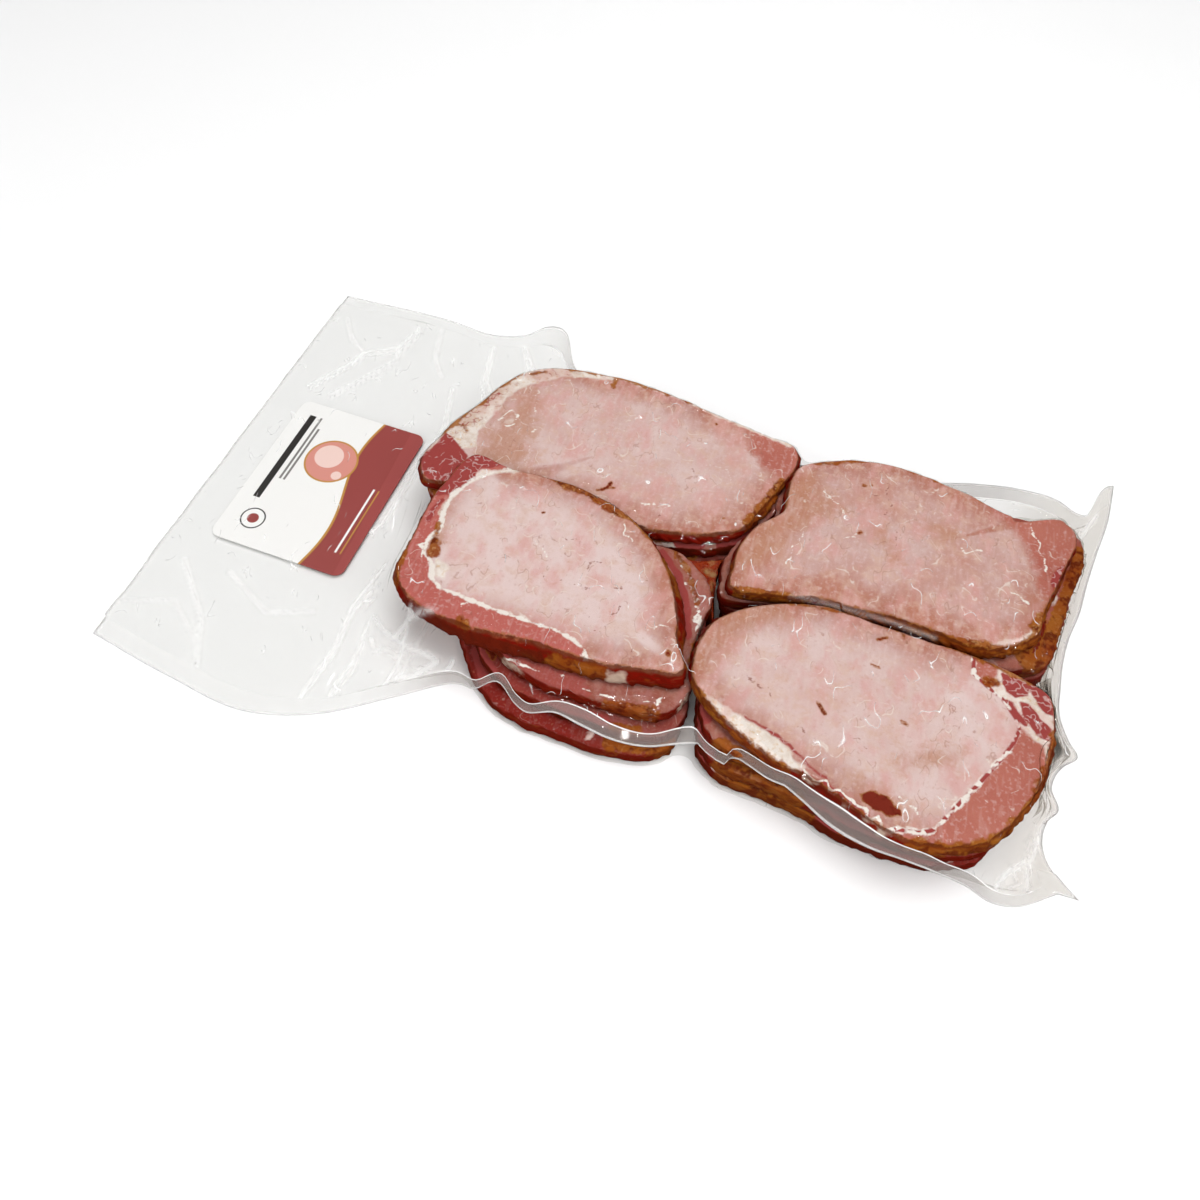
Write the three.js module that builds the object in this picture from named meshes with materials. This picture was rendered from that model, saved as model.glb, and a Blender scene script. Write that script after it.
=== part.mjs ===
// A vacuum pouch of sliced smoked loin ham, lying flat: four stacks of slices under clear film, an
// empty tail of the same film at the left, and a paper label that lies on the tail.
// Millimetres, +Z up. X runs along the pack with the empty tail at -X, Y runs to the back,
// and the origin is on the table under the middle of the pack.
import * as THREE from 'three';

// ---- Driving dimensions ----

const FILM = 1.2;            // the two films pressed together, with the air that stays between them
const SLICE = 7;             // thickness of one slice
const SLICES = 4;            // slices in each stack
const FLANGE = 8;            // width of the welded seam that runs round the ham
const SHOULDER = 2.5;        // the film starts to fall this far inside a slice's edge
const DRAPE = 10;            // and reaches the level of the seam this far outside it
const SIDE_INSET = 8;        // the bag's underside turns up over this distance inside the seam

// The four stacks. cx, cy: middle of the top slice. a, b: half its length and half its width.
// square: 2 is an ellipse, more is squarer. taper: how much narrower it gets towards +X.
// bow: how far its long axis bends to the front. skew: how far its back edge slips along X.
// turn: degrees. rise: how much its top differs from the full height of four slices, because
// the front left top slice leans on its neighbour at the back.
const STACKS = [
  { cx: -17.8, cy: 26.4, a: 66, b: 36.8, square: 3.7, taper: -0.12, bow: -3.2, skew: 14, turn: -0.5, rise: -1 },
  { cx: -24.6, cy: -37.9, a: 53.4, b: 35.3, square: 3.1, taper: -0.22, bow: -9.9, skew: -7.9, turn: -8, rise: 3 },
  { cx: 101.8, cy: 14.2, a: 56.5, b: 35, square: 5, taper: -0.13, bow: -3.7, skew: 12.2, turn: -1.5, rise: 1 },
  { cx: 94.1, cy: -54.5, a: 60, b: 34.5, square: 3, taper: 0.25, bow: -0.4, skew: 6.1, turn: -11.3, rise: 1 },
];

// The outer edge of the film, front and back, as [x, y].
const FRONT_EDGE = [
  [-185.3, -99.6], [-150, -107], [-114, -111], [-90, -104], [-65, -90], [-45, -81], [-30, -79], [-17, -84],
  [0, -82.5], [20, -85], [48, -76.5], [62, -78], [82, -88], [100, -96], [150, -101], [163, -97], [171, -90],
];
const BACK_EDGE = [
  [-175, 101.5], [-122, 102], [-95, 100], [-83, 104], [-72, 111], [-63, 107], [-52, 86], [-40, 76],
  [60, 74], [150, 73], [163, 71], [171, 87],
];
// The left and right edges, as [y, x].
const TAIL_EDGE = [[-99.6, -185.3], [101.5, -175]];
const END_EDGE = [
  [-90, 178], [-79, 165], [-60, 166], [-42, 171], [-20, 167], [0, 168], [28, 174], [60, 181], [88, 185.3],
];
// Height of the seam above the table, front and back, as [x, z]: it lies on the table along the
// tail and rides half way up the stacks along the body.
const FRONT_LIFT = [[-100, 0], [-75, 3], [-55, 8], [-38, 12], [140, 12], [160, 7], [178, 3]];
const BACK_LIFT = [[-98, 0], [-75, 3], [-50, 9], [-35, 11], [165, 10], [185, 12]];
// How far the lower slices push the bag out beyond the front seam, as [x, mm].
const FRONT_BELLY = [[-60, 0], [-38, 8], [0, 11], [40, 12], [70, 13], [100, 8], [140, 3], [160, 0]];
const BACK_BELLY = 2;
// Soft folds that stand up in the empty film: [x, y, reach along X, reach along Y, height].
const FOLDS = [
  [-72, 100, 8, 8, 4.5],
  [-96, -62, 3.5, 30, 1.6],
  [-88, -78, 4, 22, 2.4],
  [-97, 50, 4, 26, 1.2],
  [-140, 80, 14, 6, 1.5],
  [-146, -84, 12, 7, 1.4],
];

// Spacing of the cross-sections along X, and of the points across each one.
const TAIL_STEP = 9;
const BODY_STEP = 5.4;
const STEEP_STEP = 3.4;
const TAIL_END = -104;
const BODY_FOOT = -97;                   // the film starts to climb the slices here
const BODY_START = -82;
const BODY_END = 146;
const SIDE_POINTS = [0, 3, 6, 10, 15];   // distances inside each seam
const ACROSS = 19;                       // equal steps between them
const TENSION = 2;                       // times that the film's height is evened with its neighbours

const LABEL = { cx: -135.2, cy: -8.8, width: 59, height: 78, corner: 4, turn: -3, thickness: 0.4 };
const GAP = 0.3;                         // clearance between the label and the film

// ---- Helpers ----

// A smooth curve through [position, value] pairs, held level beyond both ends.
function through(pairs) {
  const curve = new THREE.CubicInterpolant(pairs.map((p) => p[0]), pairs.map((p) => p[1]), 1);
  return (t) => curve.evaluate(t)[0];
}

const smooth = (t) => THREE.MathUtils.smoothstep(t, 0, 1);
const { lerp, clamp, degToRad } = THREE.MathUtils;

const frontEdge = through(FRONT_EDGE);
const backEdge = through(BACK_EDGE);
const tailEdge = through(TAIL_EDGE);
const endEdge = through(END_EDGE);
const frontLift = through(FRONT_LIFT);
const backLift = through(BACK_LIFT);
const frontBelly = through(FRONT_BELLY);

// Signed distance from a slice's rounded outline, in millimetres, positive outside.
function outside(stack, x, y) {
  const turn = degToRad(-stack.turn);
  const dx = x - stack.cx;
  const dy = y - stack.cy;
  const px = dx * Math.cos(turn) - dy * Math.sin(turn);
  const py = dx * Math.sin(turn) + dy * Math.cos(turn);
  let ex = px / stack.a;
  let ey = py / stack.b;
  for (let pass = 0; pass < 4; pass += 1) {
    ex = (px - stack.skew * ey) / stack.a;
    const along = clamp(ex, -1, 1);
    ey = (py - stack.bow * (along * along - 0.5)) / (stack.b * (1 + stack.taper * along));
  }
  const rho = (Math.abs(ex) ** stack.square + Math.abs(ey) ** stack.square) ** (1 / stack.square);
  return (1 - 1 / Math.max(rho, 1e-3)) * Math.hypot(px, py);
}

// Height of the film where the slices carry it.
function overSlices(x, y) {
  let height = 0;
  for (const stack of STACKS) {
    const top = SLICES * SLICE + stack.rise;
    const fall = smooth((outside(stack, x, y) + SHOULDER) / (SHOULDER + DRAPE));
    height = Math.max(height, top * (1 - fall));
  }
  return height;
}

// Height of the loose folds in the empty film.
function overFolds(x, y) {
  let height = 0;
  for (const [fx, fy, reachX, reachY, tall] of FOLDS) {
    const r = Math.hypot((x - fx) / reachX, (y - fy) / reachY);
    height = Math.max(height, tall * (1 - smooth(r / 1.6)));
  }
  return height;
}

// ---- The pouch: cross-sections along X, each a ring of a top film and an underside ----

function stations() {
  const list = [];
  const [start, end] = [FRONT_EDGE[0][0], END_EDGE[3][1]];
  const step = (x) => {
    if (x < TAIL_END) return TAIL_STEP;
    return x < BODY_START || x > BODY_END ? STEEP_STEP : BODY_STEP;
  };
  for (let x = start; x < end - STEEP_STEP / 2; x += step(x)) list.push(x);
  list.push(end);
  return list;
}

// The points across one section, from the front edge to the back edge, each as its Y,
// its share of the way across, and how far inside the nearer seam it is.
function across(front, back) {
  const points = [
    { y: front, inside: -FLANGE },
    { y: front + FLANGE / 2, inside: -FLANGE / 2 },
  ];
  const [rootFront, rootBack] = [front + FLANGE, back - FLANGE];
  for (const d of SIDE_POINTS) points.push({ y: rootFront + d, inside: d, front: true });
  const last = SIDE_POINTS.at(-1);
  for (let i = 1; i < ACROSS; i += 1) {
    const y = lerp(rootFront + last, rootBack - last, i / ACROSS);
    points.push({ y, inside: Math.min(y - rootFront, rootBack - y) });
  }
  for (const d of [...SIDE_POINTS].reverse()) points.push({ y: rootBack - d, inside: d });
  points.push({ y: back - FLANGE / 2, inside: -FLANGE / 2 }, { y: back, inside: -FLANGE });
  for (const p of points) p.share = (p.y - front) / (back - front);
  return points;
}

function pouchGeometry() {
  const top = [];
  const bottom = [];
  const list = stations();
  const [start, end] = [list[0], list.at(-1)];
  for (const station of list) {
    const front = frontEdge(station);
    const back = backEdge(station);
    const toTail = 1 - smooth((station - start) / (BODY_START - start));
    const toEnd = smooth((station - BODY_END) / (end - BODY_END));
    const topRow = [];
    const bottomRow = [];
    for (const { y, inside, share, front: nearFront } of across(front, back)) {
      const x = station + toTail * (tailEdge(y) - start) + toEnd * (endEdge(y) - end);
      const seam = FILM / 2 + lerp(frontLift(x), backLift(x), share);
      const depth = Math.min(inside, end - FLANGE - station);
      const carried = depth > 0 ? Math.max(overSlices(x, y), overFolds(x, y)) : 0;
      topRow.push(new THREE.Vector3(x, y, Math.max(seam + FILM / 2, FILM + carried)));
      const raised = 1 - smooth(depth / SIDE_INSET);
      const belly = nearFront ? frontBelly(x) : BACK_BELLY * (seam > FILM ? 1 : 0);
      const bulge = depth > 0 ? belly * Math.sin(Math.PI * Math.min(depth / SIDE_INSET, 1) ** 0.7) : 0;
      bottomRow.push(new THREE.Vector3(x, y + (nearFront ? -bulge : bulge), (seam - FILM / 2) * raised));
    }
    top.push(topRow);
    bottom.push(bottomRow);
  }
  for (let pass = 0; pass < TENSION; pass += 1) tighten(top);
  return closedSheet(top, bottom);
}

// Tension in the film evens out its height across the steps between slices.
function tighten(top) {
  const before = top.map((row) => row.map((p) => p.z));
  const edge = SIDE_POINTS.length;
  for (let i = 1; i + 1 < top.length; i += 1) {
    if (top[i][0].x < BODY_FOOT) continue;
    for (let j = edge; j + edge < top[i].length; j += 1) {
      const around = before[i - 1][j] + before[i + 1][j] + before[i][j - 1] + before[i][j + 1];
      top[i][j].z = lerp(before[i][j], around / 4, 0.5);
    }
  }
}

// One closed body from a grid of top points and the grid of bottom points under it.
function closedSheet(top, bottom) {
  const rows = top.length;
  const columns = top[0].length;
  const positions = [...top.flat(), ...bottom.flat()].flatMap((p) => [p.x, p.y, p.z]);
  const upper = (i, j) => i * columns + j;
  const lower = (i, j) => (rows + i) * columns + j;
  const index = [];
  const quad = (a, b, c, d) => index.push(a, b, c, a, c, d);
  for (let i = 0; i + 1 < rows; i += 1) {
    for (let j = 0; j + 1 < columns; j += 1) {
      quad(upper(i, j), upper(i + 1, j), upper(i + 1, j + 1), upper(i, j + 1));
      quad(lower(i, j), lower(i, j + 1), lower(i + 1, j + 1), lower(i + 1, j));
    }
    quad(upper(i, 0), lower(i, 0), lower(i + 1, 0), upper(i + 1, 0));
    const e = columns - 1;
    quad(upper(i, e), upper(i + 1, e), lower(i + 1, e), lower(i, e));
  }
  for (let j = 0; j + 1 < columns; j += 1) {
    const e = rows - 1;
    quad(upper(0, j), upper(0, j + 1), lower(0, j + 1), lower(0, j));
    quad(upper(e, j), lower(e, j), lower(e, j + 1), upper(e, j + 1));
  }
  const geometry = new THREE.BufferGeometry();
  geometry.setAttribute('position', new THREE.Float32BufferAttribute(positions, 3));
  geometry.setIndex(index);
  geometry.computeVertexNormals();
  return geometry;
}

function makePouch() {
  const material = new THREE.MeshStandardMaterial({ color: 0xd9a79b, roughness: 0.25, metalness: 0 });
  const mesh = new THREE.Mesh(pouchGeometry(), material);
  mesh.name = 'pouch';
  return mesh;
}

// ---- The label: a thin paper rectangle with round corners ----

function makeLabel() {
  const { width, height, corner, thickness } = LABEL;
  const shape = new THREE.Shape();
  const [w, h] = [width / 2, height / 2];
  shape.absarc(w - corner, h - corner, corner, 0, Math.PI / 2);
  shape.absarc(-w + corner, h - corner, corner, Math.PI / 2, Math.PI);
  shape.absarc(-w + corner, -h + corner, corner, Math.PI, 1.5 * Math.PI);
  shape.absarc(w - corner, -h + corner, corner, 1.5 * Math.PI, 2 * Math.PI);
  const sheet = { depth: thickness, bevelEnabled: false, curveSegments: 6 };
  const geometry = new THREE.ExtrudeGeometry(shape, sheet);
  const material = new THREE.MeshStandardMaterial({ color: 0xf4f3f1, roughness: 0.55, metalness: 0 });
  const mesh = new THREE.Mesh(geometry, material);
  mesh.name = 'label';
  mesh.position.set(LABEL.cx, LABEL.cy, FILM + GAP);
  mesh.rotation.z = degToRad(LABEL.turn);
  return mesh;
}

// ---- The pack, with the middle of its footprint at the origin ----

const pack = new THREE.Group();
pack.add(makePouch(), makeLabel());
const middle = new THREE.Box3().setFromObject(pack, true).getCenter(new THREE.Vector3());
pack.position.set(-middle.x, -middle.y, 0);

export default pack;
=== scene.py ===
"""A clear vacuum pouch of sliced smoked loin, laid out as a Blender add-on and run as a script."""
import math

import bpy
import numpy as np
from mathutils import Matrix, Vector


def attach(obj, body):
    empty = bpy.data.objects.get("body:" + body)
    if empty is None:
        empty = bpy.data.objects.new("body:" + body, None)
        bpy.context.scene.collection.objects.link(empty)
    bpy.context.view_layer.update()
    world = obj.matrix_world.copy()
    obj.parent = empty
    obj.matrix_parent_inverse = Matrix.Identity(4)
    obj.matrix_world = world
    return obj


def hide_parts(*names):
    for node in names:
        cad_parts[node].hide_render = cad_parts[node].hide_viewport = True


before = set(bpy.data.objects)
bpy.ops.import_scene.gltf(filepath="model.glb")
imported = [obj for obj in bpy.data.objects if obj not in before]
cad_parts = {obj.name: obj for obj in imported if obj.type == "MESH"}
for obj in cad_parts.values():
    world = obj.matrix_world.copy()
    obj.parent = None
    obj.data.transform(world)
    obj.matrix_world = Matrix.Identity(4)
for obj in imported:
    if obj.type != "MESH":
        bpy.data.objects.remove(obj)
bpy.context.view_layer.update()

bl_info = {
    "name": "Smoked loin vacuum pack",
    "version": (1, 0, 0),
    "blender": (4, 5, 0),
    "location": "View3D > Sidebar > Loin pack",
    "description": "Clear vacuum pouch of sliced smoked loin with a paper label on its empty flap",
    "category": "Object",
}

# The frame is the CAD's: X runs along the pack with the empty flap at -X, Y to the back, Z up from
# the table. Tables and shapes are in millimetres, and turn to metres where a mesh gets its points.
MM = 0.001
BODY = "root"
SEED = 11
TINY = 1e-9
FAR_OFF = 1e9

# ---- The slices ----

# The top slice of each stack: its middle, how high its upper face lies, how pale its eye and how red
# its cap is, and points round its edge, which a smooth closed curve joins.
STACKS = {
    "back_left": dict(x=-18, y=27, top=27, pale=0.6, red=0.5, edge=[
        (-90, -0.5), (-87, -7.5), (-82, -10.5), (-74, -9), (-60, -4), (-40, -4), (-14, -4.5), (4, -5.5),
        (12, -4.5), (23, -2), (33.5, 2.5), (39.5, 6.5), (42.5, 13.5), (46.5, 23.5), (49.5, 32.5), (53, 44.5),
        (53, 49.5), (50.5, 53.5), (40, 55.5), (27.5, 58), (14.5, 60.5), (1, 63.5), (-12.5, 66), (-25.5, 67),
        (-38.5, 66), (-56, 63), (-66, 57.5), (-73.5, 46), (-79, 33.5), (-85, 22), (-88.5, 11)]),
    "front_left": dict(x=-25, y=-34, top=31, pale=1.0, red=1.0, edge=[
        (-68.5, 5.5), (-57, 3.5), (-40.5, 3.5), (-23.5, 2.5), (-8.5, -2.5), (2, -8.5), (12, -17.5),
        (19.5, -29.5), (24.5, -41), (28, -53), (31.5, -60.5), (30, -63.5), (23.5, -64.5), (11.5, -67),
        (-5, -68.3), (-20.5, -67.2), (-34, -67.8), (-47, -68.2), (-60, -66.5), (-71.5, -60.8), (-77, -54.5),
        (-78, -49.5), (-77, -37.5), (-77, -24), (-74.5, -9.5), (-72, 2)]),
    "back_right": dict(x=102, y=16, top=29, pale=0.38, red=0.48, edge=[
        (61, 46.5), (55, 42.5), (52, 29), (51.5, 17), (43, 6.5), (38.5, -7), (39, -13.5), (42.5, -23),
        (55.5, -21), (65.5, -18.5), (86, -17), (102, -17), (116.5, -18), (132, -19.5), (143.5, -14),
        (149.5, -8.5), (152.5, 4.5), (155, 13), (160, 29), (162.5, 38), (159.5, 46), (154, 47.5), (143, 43),
        (137.5, 44), (121, 49.5), (98.5, 53.5), (87, 54.5), (78, 53)]),
    "front_right": dict(x=95, y=-58, top=29, pale=0.72, red=0.5, edge=[
        (34, -55), (35.5, -43), (40, -35), (49, -28), (57, -24), (68, -20.5), (86.5, -20), (97, -21),
        (119.5, -22.5), (137, -25), (146, -27.5), (154, -31), (156.5, -38), (157, -44), (154.5, -62),
        (149, -74.5), (144.5, -81.5), (137.5, -89), (130.5, -93), (123, -95.5), (115.5, -97), (105, -95),
        (92.5, -90), (77.5, -85), (68.5, -83.5), (59, -79.5), (49, -74), (41.5, -69), (36, -63)]),
}
# The edge that the slices beneath the top ones share, where it isn't the top one's.
LOWER_EDGES = {
    "front_left": [
        (-58, -35), (-57, -22), (-50, -15), (-40, -14), (-20, -13), (0, -13), (10, -12.5), (18, -12.5),
        (25.5, -17), (32, -23), (35.5, -30), (34.5, -40), (33.5, -48), (34.5, -56), (36.5, -63), (36, -71),
        (31, -79), (15, -81.5), (0, -81), (-16, -79.5), (-28, -76), (-37, -70), (-45, -60), (-53, -48)],
    "back_right": [
        (61, 46.5), (55, 42.5), (52, 29), (51.5, 17), (43, 6.5), (38.5, -7), (39, -13.5), (42.5, -23),
        (55.5, -21), (65.5, -19), (86, -18.5), (102, -18.5), (116.5, -20), (132, -22), (148, -20),
        (159, -14), (162, -4), (164, 6), (166.5, 16), (169.5, 27), (171, 37), (170.5, 46), (165, 50.5),
        (150, 50), (137.5, 48), (121, 50.5), (98.5, 54), (87, 54.5), (78, 53)],
    "front_right": [
        (40, -50), (42, -38), (50, -30), (68, -22.5), (97, -22), (119.5, -23.5), (137, -26), (150, -31),
        (156, -45), (154, -62), (149, -76), (141, -87), (130, -92), (115, -93), (95, -91), (80, -87),
        (66, -85), (52, -83), (44, -77), (40.5, -66)],
}
# The three slices under each top one, from the second down: moved along X and along Y, larger
# along X and along Y by these shares, turned by these degrees, and how high the upper face lies.
LOWER = {
    "back_left": [(3, -1.5, 0, 0, 1, 20.4), (5, -2, 0, -0.03, -1, 13.6), (3, -1, 0, 0, 1, 6.9)],
    "front_left": [(-1, 4, 0, 0, 0, 22.2), (-1, 0, 0.01, 0.01, -1, 14.4), (-2.5, -7, 0.02, 0, 1, 7.2)],
    "back_right": [(-2.5, 0, 0, 0, 0, 21.8), (-0.5, 0, 0, 0, 0, 14.5), (0, 0.5, 0, 0, 0, 7.3)],
    "front_right": [(0, 2, 0, 0, 0, 21.8), (0, -0.5, 0.01, 0, 1, 14.5), (0.5, -1.5, 0, 0, 0, 7.3)],
}
SPACE = 0.15                 # between one slice and the next
FLOOR_GAP = 0.3              # under the lowest slices and the jelly
SWAY = 0.5                   # how far the upper faces rise and dip
SWAY_SIZE = 46
SWAY_FULL = 28               # at this height above the table, and less beneath it
WOBBLE = (0.45, 0.8)         # unevenness of the outline, of a top slice and of a lower one
WOBBLE_TURNS = (5, 7, 9, 12, 17, 23, 31)
# How far a slice widens downwards: a top slice most towards LEAN_WAY, and a lower one.
LEAN = {"back_left": 1.8, "front_left": 4.0, "back_right": 1.4, "front_right": 1.6}
LOWER_LEAN = 0.5
LEAN_WAY = (0.6, -0.8)
LEAN_ELSEWHERE = 0.3         # the share of the lean that the other sides have
LEAN_FOCUS = 1.6             # how soon it is full towards LEAN_WAY
LEAN_CLEAR = 0.4             # a leaning wall stays this far from the next stack's
BULGE = (0.7, 0.4)           # how far the wall swells out, of a top slice and of a lower one
WALL_BUMPS = 0.35
WALL_BUMP_SIZE = 7
ROUNDING = (1.5, 0.6)        # radius at the edge of the faces, of a top slice and of a lower one
GRIDS = ((168, 112), (72, 48))   # points across the face, of a top slice and of a lower one
GRID_RINGS = (0.45, 0.55)    # how evenly its rings are spaced, and how crowded at the edge
GRID_FAN = 0.6               # turns its rays towards the slice's long sides
WALL_ROWS = 5
AT_EDGE = 0.15               # a point this near the outline belongs to the wall
CARRY_REACH = 1.2            # a slice rests on one of another stack that it passes by less than this,
CARRY_STEP = 2               # and whose upper face is at least this much lower
RAYS = 721                   # an outline is kept at so many even angles
ROUND = np.linspace(-math.pi, math.pi, RAYS)
DEPTHS = (0, 0.58, 0.82, 1)  # how dark and red the slices of a stack are, from the top down

# Juice and scraps set to jelly in the hollow between the four stacks.
JUICE_MIDDLE = (32.5, -9.5)
JUICE_TOP = 15.5
JUICE_REACH = (2, 25, 0.4)   # its edge is looked for from and to so far from the middle, by such steps
JUICE_GAP = 1.3
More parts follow.
